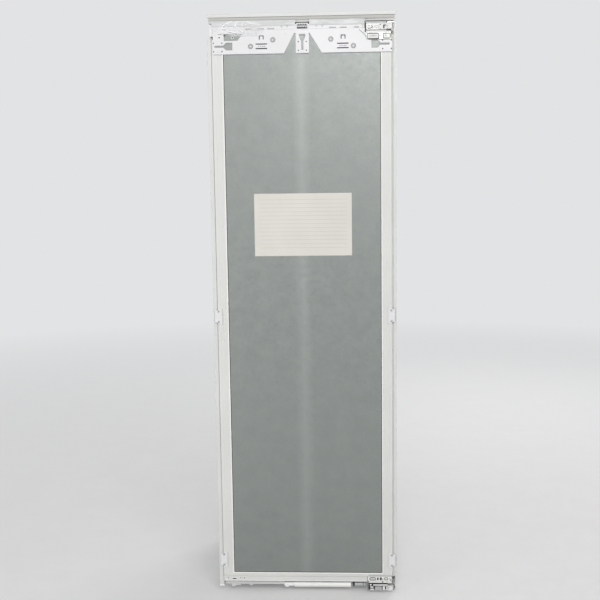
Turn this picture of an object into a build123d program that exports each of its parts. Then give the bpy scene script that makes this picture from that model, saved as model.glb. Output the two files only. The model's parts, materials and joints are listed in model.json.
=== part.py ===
from build123d import *
import math
import os

# Panel-ready larder refrigerator, in millimetres.
# +X is to the right and -Y to the front, as seen from in front; +Z is up.
# The origin is on the floor, under the middle of the overall box.

# Overall sizes
overall_width = 556
overall_height = 1772
overall_depth = 546
sheet = 1.0
wall = 1.5
seat_gap = 0.3
running_gap = 0.05
overrun = 5

front_y = -overall_depth / 2
rear_y = overall_depth / 2
trim_x = overall_width / 2

# Cabinet case
trim_side = 5
rear_space = 28.2
top_trim_height = 27
case_bottom_z = 62
foot_space = 20
flange_depth = 12
cabinet_x = overall_width / 2 - trim_side
cabinet_back = rear_y - rear_space
cabinet_top = overall_height - top_trim_height
case_inner_x = cabinet_x - sheet

# Interior
side_insulation = 38
rear_insulation = 69.8
top_insulation = 45
interior_bottom = 110
step_height = 152
step_depth = 135
liner_lip = 8
lip_gap = 0.3
interior_x = cabinet_x - side_insulation
interior_top = cabinet_top - top_insulation
interior_rear = cabinet_back - rear_insulation
step_top = interior_bottom + step_height
step_front = interior_rear - step_depth
liner_x = interior_x + wall
lip_x = interior_x + liner_lip

# Machine compartment at the bottom of the back
machine_front_wall = 41
machine_top_wall = 36
machine_front = step_front + machine_front_wall
machine_top = step_top - machine_top_wall

# Top trim
trim_lip = 10.5
trim_groove = 4
trim_groove_depth = 5
trim_step_inset = 4
trim_overhang = 56
trim_seat = 46
trim_wall = 2.5
trim_skirt = 6.5

# Base frame and rear tray
base_rail_depth = 60
base_flange = 22
tray_lip = 12
roller_window = 34
roller_window_width = 18

# Feet and rear rollers
foot_inset = 48
foot_setback = 36
foot_radius = 20
foot_pad = 6
foot_stud_radius = 5
foot_stud_top = 52
foot_boss_radius = 9
foot_collar_radius = 11
foot_collar = 4
roller_radius = 14
roller_width = 12
roller_inset = 46
roller_setback = 30
axle_radius = 3
ear_thickness = 2
ear_width = 16
ear_gap = 1

# Compressor set
compressor_x = -70
compressor_radius = 60
compressor_height = 128
compressor_clear_z = 14
compressor_plate = 3
compressor_plate_width = 176
compressor_plate_depth = 120
compressor_dome_share = 0.45
port_share = 0.33
mount_radius = 11
mount_pitch_x = 148
mount_pitch_y = 92
relay_width = 44
relay_depth = 52
relay_height = 70
inlet_width = 28
inlet_height = 22
inlet_depth = 26
inlet_wall = 2
inlet_x = 150
inlet_z = 90
inlet_pin = 2
drier_radius = 9
drier_length = 110
drier_inset = 120
stub_length = 10
discharge_bend = 12.5
liquid_bend = 7.5
suction_bend = 3.75
drip_tab = 24
drip_width = 190
drip_depth = 120
drip_height = 26
drip_gap = 6
drain_radius = 8

# Condenser on the back
condenser_tube_radius = 2.5
condenser_gap = 11
condenser_side = 58
condenser_passes = 13
condenser_bottom = 330
condenser_pitch = 88
condenser_tail = 56
condenser_bend_share = 0.96
riser_gap = 16
wire_radius = 0.8
wire_count = 27
wire_clear = 0.3
clip_width = 16
clip_height = 30
spacer_width = 34
spacer_height = 90
spacer_inset = 40
spacer_drop = 45
spacer_corner = 6

# Air duct, evaporator and fan
duct_width = 300
duct_bottom = 520
duct_drop = 40
duct_depth = 30
duct_wall = 2
vent_count = 9
vent_width = 120
vent_height = 6
fan_drop = 260
fan_radius = 44
fan_gap = 3
fan_depth = 11
fan_hub_radius = 13
fan_blades = 7
fan_blade_thick = 1.6
fan_blade_twist = 34
fan_shaft_radius = 2
fan_motor_radius = 16
grille_bars = 4
grille_bar = 3
evaporator_width = 260
evaporator_bottom = 640
evaporator_clear = 140
evaporator_fin = 1.2
evaporator_fins = 26
evaporator_depth = 16
evaporator_tube_radius = 4

# Shelves
shelf_count = 4
shelf_first = 620
shelf_top_space = 420
shelf_glass = 4
shelf_front = 109
shelf_rear = 34
shelf_side_gap = 3
rib_height = 6
rib_reach = 9
shelf_trim_height = 14
shelf_trim_depth = 12
crisper_shelf_z = 446

# Crisper drawers
drawer_front_y = 68
drawer_front_wall = 5
drawer_side = 43
drawer_rim = 10
drawer_wall = 2
lower_box_z = 117
lower_box_height = 136
lower_box_rear = 9
upper_box_z = 268
upper_box_height = 164
upper_box_rear = 32
runner_height = 12
grip_width = 150
grip_height = 16

# Lights, control panel and light switch
led_inset = 58
led_width = 12
led_thick = 2.5
led_bottom = 700
led_drop = 120
panel_width = 250
panel_height = 26
panel_depth = 90
panel_setback = 12
panel_wall = 2.5
button_pitch = 34
button_width = 18
button_height = 9
button_gap = 0.3
button_depth = 8
button_proud = 1.8
button_travel = 1.5
button_flange = 2
button_corner = 1.2
plunger_radius = 4
plunger_length = 20
plunger_x = 108
plunger_gap = 0.1
plunger_guide = 16

# Door body
door_side_gap = 9
door_bottom = 35
door_drop = 34
door_thick = 54
gasket_space = 10
frame_wall = 2
frame_face = 1.4
skin_thick = 0.8
skin_border_left = 33
skin_border_right = 31
skin_bottom = 63.5
skin_drop = 14
rail_step = 2
rail_step_bottom = 53
rail_slot_z = 44
rail_slot_drop = 2
rail_slot_inset = 33
rail_slot_width = 12
rail_hole_insets = (14, 53, 64)
liner_sheet = 2
liner_border = 14
liner_bottom_z = 84
liner_drop = 16
dyke_side_gap = 23
dyke_width = 22
dyke_depth = 26
dyke_bottom = 122
dyke_drop = 8

# Hinge notches in the door
notch_width = 78
notch_height = 32
notch_bottom_height = 16

# Gasket
gasket_border = 14
gasket_width = 14
gasket_bottom = 90
gasket_drop = 20
gasket_gap = 0.3
gasket_lip = 3

# Side trims
trim_strip_width = 14
strip_front = 9
strip_depth = 18
strip_left_bottom = 18
strip_right_bottom = 64
strip_drop = 35
strip_slot = 1.5
strip_slot_share = 0.3

# Hanger plate, its heights measured from the door's top
hanger_thick = 1.5
hanger_inset_left = 4
hanger_reach_right = 2
hanger_bottom = -84
hanger_top = -1
hanger_notch_width = 64
hanger_notch_z = -49
hanger_slope_run = 22
tongue_left = 16
tongue_right = 23
v_left_top = 20
v_left_bottom = 51
v_right_top = 25
v_right_bottom = 61
v_apex_z = -26
keyhole_x = 3.5
keyhole_head = 9.5
keyhole_head_z = -32
keyhole_stem = 4
keyhole_shoulder_z = -50
keyhole_bottom = -74
tongue_hole_dx = 23
tongue_hole_dz = 25
tongue_hole_z = -63
small_hole = 1.8
tab_hole_dx = 25
tab_hole_dz = 24
tab_hole_z = -63
left_tab_inset = 18
right_tab_inset = 13
slot_head_length = 26
slot_head_height = 21
slot_taper = 8
slot_stem_length = 26
slot_stem_height = 5
left_slot_inset = 61
right_slot_inset = 58
slot_z = -61
upper_cut_inset = 37.5
upper_cut_width = 53
upper_cut_top = -27
upper_cut_bottom = -44
upper_cut_slope = 14
ring_radius = 7
ring_height = 1
ring_places = ((-83, -44), (-149, -62), (87, -45), (153, -65))
lance_places = ((-117, -38), (123, -40))
lance_width = 14
lance_height = 9
lance_slot = 2.5
ladder_places = ((-117, -62), (122, -64))
ladder_width = 34
ladder_slot = 3
ladder_pitch = 13

# Adjuster block, fitting card and side brackets
adjuster_width = 30
adjuster_height = 15
adjuster_z = -6.5
adjuster_thick = 1.2
adjuster_teeth = 5
adjuster_face_share = 0.95
adjuster_slot_share = 0.17
card_left = -147
card_width = 292
card_bottom = 1058
card_height = 187
card_thick = 0.3
bracket_thick = 1.4
bracket_width = 22
bracket_height = 48
bracket_screw_pitch = 33
bracket_middle_z = 875
bracket_low_z = 105
bracket_overlap = 9
bracket_jog_share = 0.8
screw_head_radius = 3.4
screw_head = 1.6
screw_radius = 2
screw_gap = 0.05
screw_edge_share = 0.4
screw_recess_share = 1.6

# Folding hinges: pivots in plan, measured in from the cabinet's side and out from its front
pivot_a1 = (14.0, 36.8)
pivot_b1 = (53.2, 53.6)
pivot_a2 = (7.2, 23.1)
pivot_b2 = (32.7, 50.0)
pin_radius = 3
open_pivot_gap = 0.35
arm_half_width = 5.5
door_plate_thick = 3
short_arm_level = 4.5
short_arm_thick = 5.5
long_arm_level = 12
long_arm_thick = 6
cabinet_plate_level = 31
cabinet_plate_thick = 4
hinge_face = 1.5
hinge_width = 74
hinge_face_inset = 15
hinge_face_height = 28
hinge_drop = 29
hinge_rise = 1
apron_height = 19
apron_inset = 2
apron_window_height = 11
apron_window_left = (70, 41)
apron_window_right = (22, 6)
door_plate_rear = 26
cabinet_plate_left = 21
cabinet_plate_reach = 44
flange_thick = 2.5
hinge_hole_inset = 38
hinge_hole_levels = (9, 22)
cabinet_screw_levels = (1, 13)

# Damper under the door
damper_radius = 10.5
damper_z = 21
damper_hinge_gap = 55
damper_length = 178
damper_tail_length = 25
damper_tail_radius = 8
damper_depth = 20
rod_radius = 3
rod_end_hinge_gap = 49
rod_end_length = 39
rod_end_radius = 6.5
rod_flat_share = 0.6
rod_inside = 60
damper_travel = 7
damper_hanger_width = 14

# Door bins and dairy box
bin_count = 3
bin_pitch = 290
bin_height = 92
bin_depth = 98
bin_wall = 2.5
bin_gap = 0.3
bin_front_share = 0.55
dairy_drop = 252
dairy_height = 118
dairy_front_height = 40
lid_wall = 2
lid_gap = 1.2
lid_pin_radius = 2.5
lid_barrel_radius = 4
lid_axis_share = 0.12
lid_ear = 4
lug_height = 16
lug_reach = 5

face_setback = hanger_thick + hinge_face + screw_head
skin_y = front_y + face_setback
door_rear_y = skin_y + door_thick
cabinet_y = door_rear_y + gasket_space
door_foam_y = skin_y + frame_face
hanger_y = skin_y - hanger_thick
liner_back = door_rear_y - liner_sheet
interior_y = cabinet_y
shelf_y = (cabinet_y + shelf_front, interior_rear - shelf_rear)
shelf_pitch = (interior_top - shelf_top_space - shelf_first) / (shelf_count - 1)
shelf_levels = tuple(shelf_first + count * shelf_pitch for count in range(shelf_count))
duct_top = interior_top - duct_drop
fan_z = duct_top - fan_drop
vent_pitch = (duct_top - duct_bottom) / (vent_count + 1)
condenser_width = 2 * (cabinet_x - condenser_side)
drier_x = condenser_width / 2 - drier_inset
drawer_half = interior_x - drawer_side

door_body_half = cabinet_x - door_side_gap
door_top = overall_height - door_drop
skin_left = door_body_half - skin_border_left
skin_right = door_body_half - skin_border_right
skin_top = door_top - skin_drop
liner_half = door_body_half - liner_border
liner_top_z = door_top - liner_drop
gasket_outer = door_body_half - gasket_border
gasket_top = door_top - gasket_drop
strip_top = door_top - strip_drop
notch_left = door_body_half - notch_width
notch_z = door_top - notch_height
notch_bottom_top = door_bottom + notch_bottom_height
dyke_outer = interior_x - dyke_side_gap
dyke_inner = dyke_outer - dyke_width
dyke_y = door_rear_y + dyke_depth
dyke_top = interior_top - dyke_drop

hanger_left = door_body_half - hanger_inset_left
hanger_right = door_body_half + hanger_reach_right
hanger_notch_left = door_body_half - hanger_notch_width
left_tab_x = left_tab_inset - door_body_half
right_tab_x = door_body_half - right_tab_inset
left_slot_x = left_slot_inset - door_body_half
right_slot_x = door_body_half - right_slot_inset
upper_cut_left = upper_cut_inset - door_body_half
upper_cut_right = upper_cut_left + upper_cut_width
bracket_levels = (bracket_middle_z, bracket_low_z)

hinge_left = door_body_half - hinge_width
hinge_face_right = door_body_half - hinge_face_inset
apron_right = door_body_half - apron_inset
top_hinge_z = door_top - hinge_drop
bottom_hinge_z = door_bottom + hinge_rise
damper_right = hinge_left - damper_hinge_gap
damper_left = damper_right - damper_length
damper_tail_left = damper_left - damper_tail_length
rod_end_left = hinge_left - rod_end_hinge_gap
dairy_bottom = dyke_top - dairy_drop
bin_levels = tuple(dairy_bottom - (bin_count - count) * bin_pitch for count in range(bin_count))


def block(x, y, z):
    """A box from its lowest and highest x, y and z."""
    size = (x[1] - x[0], y[1] - y[0], z[1] - z[0])
    middle = ((x[0] + x[1]) / 2, (y[0] + y[1]) / 2, (z[0] + z[1]) / 2)
    return Pos(*middle) * Box(*size)


def span(middle, width):
    """The two ends of a width about its middle."""
    return (middle - width / 2, middle + width / 2)


def rod_x(radius, x, y, z):
    """A round bar along X between x[0] and x[1]."""
    return Pos((x[0] + x[1]) / 2, y, z) * Rot(0, 90, 0) * Cylinder(radius, x[1] - x[0])


def rod_y(radius, x, y, z):
    """A round bar along Y between y[0] and y[1]."""
    return Pos(x, (y[0] + y[1]) / 2, z) * Rot(90, 0, 0) * Cylinder(radius, y[1] - y[0])


def rod_z(radius, x, y, z):
    """A round bar along Z between z[0] and z[1]."""
    return Pos(x, y, (z[0] + z[1]) / 2) * Cylinder(radius, z[1] - z[0])


def outline(points):
    """A closed flat face through the points."""
    return make_face(Polyline(*points, close=True))


def plate_xz(points, y):
    """A plate with an outline in X and Z, between y[0] and y[1]."""
    plane = Plane(origin=(0, y[1], 0), x_dir=(1, 0, 0), z_dir=(0, -1, 0))
    return extrude(plane * outline(points), amount=y[1] - y[0])


def bar_yz(points, x):
    """A bar with an outline in Y and Z, between x[0] and x[1]."""
    plane = Plane(origin=(x[0], 0, 0), x_dir=(0, 1, 0), z_dir=(1, 0, 0))
    return extrude(plane * outline(points), amount=x[1] - x[0])


def ring_frame(outer_x, inner_x, y, outer_z, inner_z):
    """A flat rectangular frame."""
    return block(outer_x, y, outer_z) - block(inner_x, (y[0] - overrun, y[1] + overrun), inner_z)


def tube(points, radius, bend):
    """A round tube along straight runs joined by bends."""
    path = FilletPolyline(*points, radius=bend)
    start = Plane(origin=path @ 0, z_dir=path % 0)
    return sweep(start * Circle(radius), path=path)


def group(pieces):
    """Separate solids kept in one node."""
    return Compound(children=[solid for piece in pieces for solid in piece.solids()])


def mirror_x(piece):
    """The same piece on the other side of the middle."""
    return mirror(piece, Plane.YZ)


# Cabinet case

def cabinet_shell():
    """Folded side, top and front flange of the outer case."""
    outer = block((-cabinet_x, cabinet_x), (cabinet_y, cabinet_back), (foot_space, cabinet_top))
    inner = block((-case_inner_x, case_inner_x), (cabinet_y + sheet, cabinet_back - sheet),
                  (foot_space - overrun, cabinet_top - sheet))
    mouth = block((-lip_x - lip_gap, lip_x + lip_gap), (cabinet_y - overrun, cabinet_y + 2 * sheet),
                  (interior_bottom - liner_lip - lip_gap, interior_top + liner_lip + lip_gap))
    toe = block((-case_inner_x, case_inner_x), (cabinet_y - overrun, cabinet_y + 2 * sheet),
                (foot_space - overrun, case_bottom_z))
    back = block((-cabinet_x + flange_depth, cabinet_x - flange_depth),
                 (cabinet_back - 2 * sheet, cabinet_back + overrun),
                 (foot_space - overrun, cabinet_top - flange_depth))
    return outer - inner - mouth - toe - back


def back_panel():
    """Flat sheet over the foam at the back, down to the machine compartment."""
    x = cabinet_x - flange_depth
    return block((-x, x), (cabinet_back - sheet, cabinet_back), (machine_top, cabinet_top - flange_depth))


def interior_outline(grow):
    """The interior in Y and Z, grown outwards by a wall."""
    return [(interior_y - (overrun if grow == 0 else 0), interior_bottom - grow),
            (step_front + grow, interior_bottom - grow),
            (step_front + grow, step_top - grow),
            (interior_rear + grow, step_top - grow),
            (interior_rear + grow, interior_top + grow),
            (interior_y - (overrun if grow == 0 else 0), interior_top + grow)]


def liner_solid():
    """The liner's outside as one solid."""
    return bar_yz(interior_outline(wall), (-liner_x, liner_x))


def shelf_rib(level):
    """A moulded ledge under one shelf, on the right-hand wall."""
    return block((interior_x - rib_reach, interior_x), shelf_y, (level - rib_height, level))


def inner_liner():
    """Formed plastic liner with a front lip and moulded ledges for the shelves."""
    shell = liner_solid() - bar_yz(interior_outline(0), (-interior_x, interior_x))
    lip = ring_frame((-lip_x, lip_x), (-interior_x, interior_x), (interior_y, interior_y + wall),
                     (interior_bottom - liner_lip, interior_top + liner_lip),
                     (interior_bottom, interior_top))
    ribs = [shelf_rib(level) for level in shelf_levels + (crisper_shelf_z,)]
    return shell + lip + ribs + [mirror_x(rib) for rib in ribs]


def insulation_foam():
    """Foam between the case and the liner."""
    foam = block((-case_inner_x, case_inner_x), (cabinet_y + wall, cabinet_back - sheet),
                 (case_bottom_z, cabinet_top - sheet))
    machine = block((-cabinet_x, cabinet_x), (machine_front - sheet, cabinet_back + overrun),
                    (0, machine_top + sheet))
    return foam - liner_solid() - machine


def base_frame():
    """Toe rail, side flanges and the lining of the machine compartment."""
    x = case_inner_x
    toe = block((-x, x), (cabinet_y, cabinet_y + wall), (foot_space, case_bottom_z))
    sole = block((-x, x), (cabinet_y, cabinet_y + base_rail_depth), (foot_space, foot_space + wall))
    side = block((x - base_flange, x), (cabinet_y + base_rail_depth, machine_front),
                 (foot_space, foot_space + wall))
    cheek = block((x - wall, x), (cabinet_y + wall, cabinet_back - sheet), (foot_space, case_bottom_z))
    bay_y = (machine_front - sheet, cabinet_back - sheet)
    cheek += block((x - wall, x), bay_y, (foot_space, machine_top))
    ceiling = block((-x, x), bay_y, (machine_top, machine_top + sheet))
    front = block((-x, x), (machine_front - sheet, machine_front), (foot_space, machine_top))
    boss = rod_z(foot_boss_radius, cabinet_x - foot_inset, cabinet_y + foot_setback,
                 (foot_space, foot_space + foot_boss_radius * 2))
    hole = rod_z(foot_stud_radius + running_gap, cabinet_x - foot_inset, cabinet_y + foot_setback,
                 (0, case_bottom_z))
    frame = toe + sole + side + mirror_x(side) + cheek + mirror_x(cheek) + ceiling + front
    frame = frame + boss + mirror_x(boss)
    return frame - hole - mirror_x(hole)


def top_trim():
    """Trim on the top front edge that closes the gap to the furniture."""
    front = cabinet_y - trim_overhang
    top = overall_height
    base = cabinet_top
    groove_z = top - trim_lip
    step_z = groove_z - trim_groove
    points = [(front, top), (front, groove_z), (front + trim_groove_depth, groove_z),
              (front + trim_groove_depth, step_z), (front + trim_wall, step_z),
              (front + trim_wall, base + trim_skirt), (front + trim_groove_depth, base + trim_skirt),
              (front + trim_groove_depth, base), (cabinet_y + trim_seat, base),
              (cabinet_y + trim_seat, base + trim_wall),
              (front + trim_groove_depth + trim_wall, base + trim_wall),
              (front + trim_groove_depth + trim_wall, top - trim_wall),
              (front + trim_seat, top - trim_wall), (front + trim_seat, top)]
    bar = bar_yz(points, (-trim_x, trim_x))
    ends = block((trim_x - trim_step_inset, trim_x + overrun),
                 (front - overrun, cabinet_y + trim_seat + overrun), (base - overrun, groove_z))
    return bar - ends - mirror_x(ends)


# Machine compartment

def ear(x):
    """One ear of an axle bracket, below the tray."""
    y = cabinet_back - roller_setback
    low = roller_radius - ear_width / 2
    plate = block(span(x, ear_thickness), span(y, ear_width), (low, foot_space))
    return plate - rod_x(axle_radius + running_gap, span(x, ear_width), y, roller_radius)


def roller_x():
    """How far each rear roller stands from the middle."""
    return cabinet_x - roller_inset


def machine_tray():
    """Steel tray that carries the compressor and the rear rollers."""
    x = case_inner_x - wall
    y = cabinet_back - roller_setback
    back = cabinet_back - sheet
    floor = block((-x, x), (machine_front, back), (foot_space, foot_space + wall))
    lip = block((-x, x), (back - wall, back), (foot_space, foot_space + tray_lip))
    window = block(span(roller_x(), roller_window_width), span(y, roller_window),
                   (foot_space - overrun, foot_space + overrun))
    tray = floor + lip - window - mirror_x(window)
    for side in (-1, 1):
        for hand in (-1, 1):
            tray += ear(side * roller_x() + hand * (roller_width / 2 + ear_gap + ear_thickness / 2))
    return tray


def rear_rollers():
    """Two rear rollers on one axle."""
    y = cabinet_back - roller_setback
    reach = roller_x() + roller_width / 2 + ear_gap + ear_thickness
    axle = rod_x(axle_radius, (-reach, reach), y, roller_radius)
    wheel = rod_x(roller_radius, span(roller_x(), roller_width), y, roller_radius)
    groove = rod_x(roller_radius + overrun, span(roller_x(), wall), y, roller_radius)
    groove -= rod_x(roller_radius - wall, span(roller_x(), roller_width), y, roller_radius)
    wheel = wheel - groove
    return axle + wheel + mirror_x(wheel)


def compressor_y():
    """The compressor's middle, front to back."""
    return (machine_front + cabinet_back) / 2


def compressor_places():
    """The four places of the compressor's rubber mounts."""
    return [(compressor_x + i * mount_pitch_x / 2, compressor_y() + j * mount_pitch_y / 2)
            for i in (-1, 1) for j in (-1, 1)]


def port_height():
    """The height of the compressor's two tube stubs."""
    return foot_space + wall + compressor_clear_z + compressor_height * port_share


def suction_port_x():
    """The suction stub's place, left of the compressor's middle."""
    return compressor_x - compressor_radius / 2


def compressor():
    """Welded steel can on a pressed foot plate."""
    floor = foot_space + wall
    plate_z = floor + compressor_clear_z
    plate = block(span(compressor_x, compressor_plate_width), span(compressor_y(), compressor_plate_depth),
                  (plate_z, plate_z + compressor_plate))
    can = rod_z(compressor_radius, compressor_x, compressor_y(),
                (plate_z + compressor_plate, plate_z + compressor_height))
    rim = can.edges().filter_by(GeomType.CIRCLE).sort_by(Axis.Z)[-1]
    can = fillet(rim, compressor_radius * compressor_dome_share)
    seam = rod_z(compressor_radius + compressor_plate, compressor_x, compressor_y(),
                 span(plate_z + compressor_height / 2, compressor_plate))
    port_z = port_height()
    discharge = rod_x(condenser_tube_radius, (compressor_x - compressor_radius - stub_length, compressor_x),
                      compressor_y(), port_z)
    suction = rod_y(condenser_tube_radius, suction_port_x(),
                    (compressor_y() - compressor_radius - stub_length, compressor_y()), port_z)
    body = plate + can + seam + discharge + suction
    for x, y in compressor_places():
        body -= rod_z(mount_radius / 2, x, y, (plate_z - overrun, plate_z + compressor_plate + overrun))
    return body


def compressor_mounts():
    """Rubber feet between the tray and the compressor, with their steel pins."""
    floor = foot_space + wall
    plate_z = floor + compressor_clear_z
    feet = []
    for x, y in compressor_places():
        foot = rod_z(mount_radius, x, y, (floor, plate_z))
        neck = rod_z(mount_radius / 2 - seat_gap, x, y, (floor, plate_z + compressor_plate * 2))
        feet.append(foot + neck)
    return group(feet)


def relay_box():
    """Terminal cover on the side of the compressor."""
    left = compressor_x + compressor_radius - wall
    floor = foot_space + wall + compressor_clear_z + compressor_plate
    box = block((left, left + relay_width), span(compressor_y(), relay_depth),
                (floor, floor + relay_height))
    can = rod_z(compressor_radius + compressor_plate + seat_gap, compressor_x, compressor_y(),
                (floor - overrun, floor + relay_height + overrun))
    return box - can


def mains_inlet():
    """Recessed appliance inlet with three pins, on the compartment's front wall bracket."""
    y = (cabinet_back - inlet_depth, cabinet_back)
    shell = block(span(inlet_x, inlet_width), y, span(inlet_z, inlet_height))
    pocket = block(span(inlet_x, inlet_width - 2 * inlet_wall), (y[0] + 3 * inlet_wall, y[1] + overrun),
                   span(inlet_z, inlet_height - 2 * inlet_wall))
    body = shell - pocket
    for place, lift in ((-1, 0), (1, 0), (0, 1)):
        x = inlet_x + place * inlet_width / 4
        z = inlet_z + lift * inlet_pin * 2 - inlet_pin
        body += block(span(x, inlet_pin), (y[0] + 2 * inlet_wall, y[1] - 2 * inlet_wall),
                      span(z, inlet_pin * 2))
    arm = block(span(inlet_x, inlet_width), (machine_front, y[0]),
                (inlet_z + inlet_height / 2 - inlet_wall, inlet_z + inlet_height / 2))
    return body + arm


def drip_z():
    """Where the drip tray's floor is."""
    return foot_space + wall + compressor_clear_z + compressor_height + drip_gap


def drip_tray():
    """Meltwater tray over the compressor, with the drain tube that feeds it."""
    low = drip_z()
    x = span(compressor_x, drip_width)
    y = span(compressor_y(), drip_depth)
    shell = block(x, y, (low, low + drip_height))
    pocket = block((x[0] + wall, x[1] - wall), (y[0] + wall, y[1] - wall),
                   (low + wall, low + 2 * drip_height))
    legs = [rod_z(wall * 2, compressor_x + i * compressor_radius / 2, compressor_y(), (low - drip_gap, low))
            for i in (-1, 1)]
    tabs = [block(tab, (machine_front, y[0]), (low + drip_height - wall * 2, low + drip_height))
            for tab in ((x[0], x[0] + drip_tab), (x[1] - drip_tab, x[1]))]
    return shell - pocket + tabs + legs


def drain_tube():
    """Spout from the foam down into the drip tray."""
    x = compressor_x + drip_width / 4
    outside = rod_z(drain_radius, x, compressor_y(), (drip_z() + drip_height / 2, machine_top))
    return outside - rod_z(drain_radius - wall, x, compressor_y(), (0, machine_top + overrun))


def drier_y():
    """The filter drier's place in front of the compartment's rear opening."""
    return cabinet_back - condenser_gap - drier_radius


def filter_drier():
    """Copper drier between the condenser and the capillary tube."""
    z = foot_space + wall + drier_radius + compressor_clear_z
    body = rod_x(drier_radius, span(drier_x, drier_length), drier_y(), z)
    body = fillet(body.edges().filter_by(GeomType.CIRCLE), drier_radius / 2)
    saddle = block(span(drier_x, drier_radius), span(drier_y(), drier_radius),
                   (foot_space + wall, z))
    return body + (saddle - body)


def refrigerant_tubes():
    """Discharge, liquid and suction lines of the compartment."""
    radius = condenser_tube_radius
    drier_z = foot_space + wall + drier_radius + compressor_clear_z
    port_z = port_height()
    back = cabinet_back + condenser_gap
    riser = -condenser_width / 2 - riser_gap
    edge = condenser_width / 2
    discharge = tube([(compressor_x - compressor_radius - stub_length, compressor_y(), port_z),
                      (riser, compressor_y(), port_z), (riser, back, port_z),
                      (riser, back, condenser_bottom)], radius, discharge_bend)
    liquid = tube([(edge, back, condenser_bottom - condenser_tail), (edge, back, drier_z),
                   (edge, drier_y(), drier_z), (drier_x + drier_length / 2, drier_y(), drier_z)],
                  radius, liquid_bend)
    low_y = compressor_y() - compressor_radius - stub_length
    turn_y = (low_y + machine_front) / 2
    suction = tube([(suction_port_x(), low_y, port_z), (suction_port_x(), turn_y, port_z),
                    (suction_port_x(), turn_y, machine_top)], radius, suction_bend)
    return group([discharge, liquid, suction])


# Condenser

def condenser():
    """Serpentine tube with upright wires and the clips that hold it off the back."""
    y = cabinet_back + condenser_gap
    half = condenser_width / 2
    bend = condenser_pitch / 2
    points = [(half, y, condenser_bottom - condenser_tail)]
    for turn in range(condenser_passes):
        z = condenser_bottom + turn * condenser_pitch
        far = -half - riser_gap if turn == condenser_passes - 1 else -half
        ends = (half, far) if turn % 2 == 0 else (far, half)
        points += [(ends[0], y, z), (ends[1], y, z)]
    points.append((-half - riser_gap, y, condenser_bottom))
    path = FilletPolyline(*points, radius=bend * condenser_bend_share)
    start = Plane(origin=path @ 0, z_dir=path % 0)
    pieces = [sweep(start * Circle(condenser_tube_radius), path=path)]
    top = condenser_bottom + (condenser_passes - 1) * condenser_pitch
    pitch = (condenser_width - 2 * bend) / (wire_count - 1)
    offset = condenser_tube_radius + wire_radius + wire_clear
    for count in range(wire_count):
        x = -half + bend + count * pitch
        for side in (-1, 1):
            pieces.append(rod_z(wire_radius, x, y + side * offset,
                                (condenser_bottom - bend / 2, top + bend / 2)))
    for x in (-half + bend - clip_width, half - bend + clip_width):
        for turn in (1, condenser_passes - 2):
            z = condenser_bottom + turn * condenser_pitch
            clip = block(span(x, clip_width), (cabinet_back, y + condenser_tube_radius + wall),
                         span(z, clip_height))
            clip -= rod_x(condenser_tube_radius + lip_gap, span(x, 2 * clip_width), y, z)
            pieces.append(clip)
    return group(pieces)


def wall_spacers():
    """Spacers that keep the condenser off the niche's rear wall."""
    x = cabinet_x - spacer_inset
    spacer = block(span(x, spacer_width), (cabinet_back, rear_y),
                   (cabinet_top - spacer_drop - spacer_height, cabinet_top - spacer_drop))
    spacer = fillet(spacer.edges().filter_by(Axis.Z).sort_by(Axis.Y)[-2:], spacer_corner)
    return group([spacer, mirror_x(spacer)])


# Air duct

def air_duct_cover():
    """Cover over the evaporator and fan, with air slots and a fan grille."""
    y = (interior_rear - duct_depth, interior_rear)
    x = duct_width / 2
    shell = block((-x, x), y, (duct_bottom, duct_top))
    inside = block((-x + duct_wall, x - duct_wall), (y[0] + duct_wall, y[1] + overrun),
                   (duct_bottom + duct_wall, duct_top - duct_wall))
    cover = shell - inside
    cover -= rod_y(fan_radius + fan_gap, 0, (y[0] - overrun, y[0] + duct_wall + overrun), fan_z)
    for bar in range(grille_bars):
        z = fan_z + (bar - (grille_bars - 1) / 2) * fan_radius / 2
        cover += block(span(0, 2 * (fan_radius + fan_gap) + wall), (y[0], y[0] + duct_wall),
                       span(z, grille_bar))
    for vent in range(vent_count):
        z = duct_bottom + vent_pitch / 2 + vent * vent_pitch
        if abs(z - fan_z) < fan_radius + vent_pitch / 3:
            continue
        for side in (-1, 1):
            cover -= block(span(side * x / 2, vent_width), (y[0] - overrun, y[0] + duct_wall + overrun),
                           span(z, vent_height))
    return cover


def fan_motor():
    """Motor of the air fan on the liner's rear wall, with its shaft and three arms."""
    rear = interior_rear
    front = interior_rear - duct_depth + 2 * duct_wall
    body = rod_y(fan_motor_radius, 0, (rear - duct_depth / 3, rear), fan_z)
    shaft = rod_y(fan_shaft_radius, 0, (front + wall, rear - duct_depth / 3), fan_z)
    arm = block(span(0, 2 * (fan_radius + fan_gap)), (rear - duct_wall, rear),
                span(fan_z, fan_motor_radius / 2))
    return body + shaft + arm


def fan_rotor():
    """Axial fan: a hub with twisted blades."""
    front = interior_rear - duct_depth + 2 * duct_wall
    y = (front + wall, front + wall + fan_depth)
    middle = (y[0] + y[1]) / 2
    hub = rod_y(fan_hub_radius, 0, y, fan_z)
    rotor = hub
    reach = fan_radius - fan_hub_radius
    for blade in range(fan_blades):
        piece = Pos(fan_hub_radius + reach / 2 - wall, 0, 0) * Rot(fan_blade_twist, 0, 0) * Box(
            reach, fan_blade_thick, fan_depth)
        rotor += Pos(0, middle, fan_z) * Rot(0, blade * 360 / fan_blades, 0) * piece
    return rotor - rod_y(fan_shaft_radius + running_gap, 0, (y[0] - overrun, y[1] + overrun), fan_z)


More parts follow.
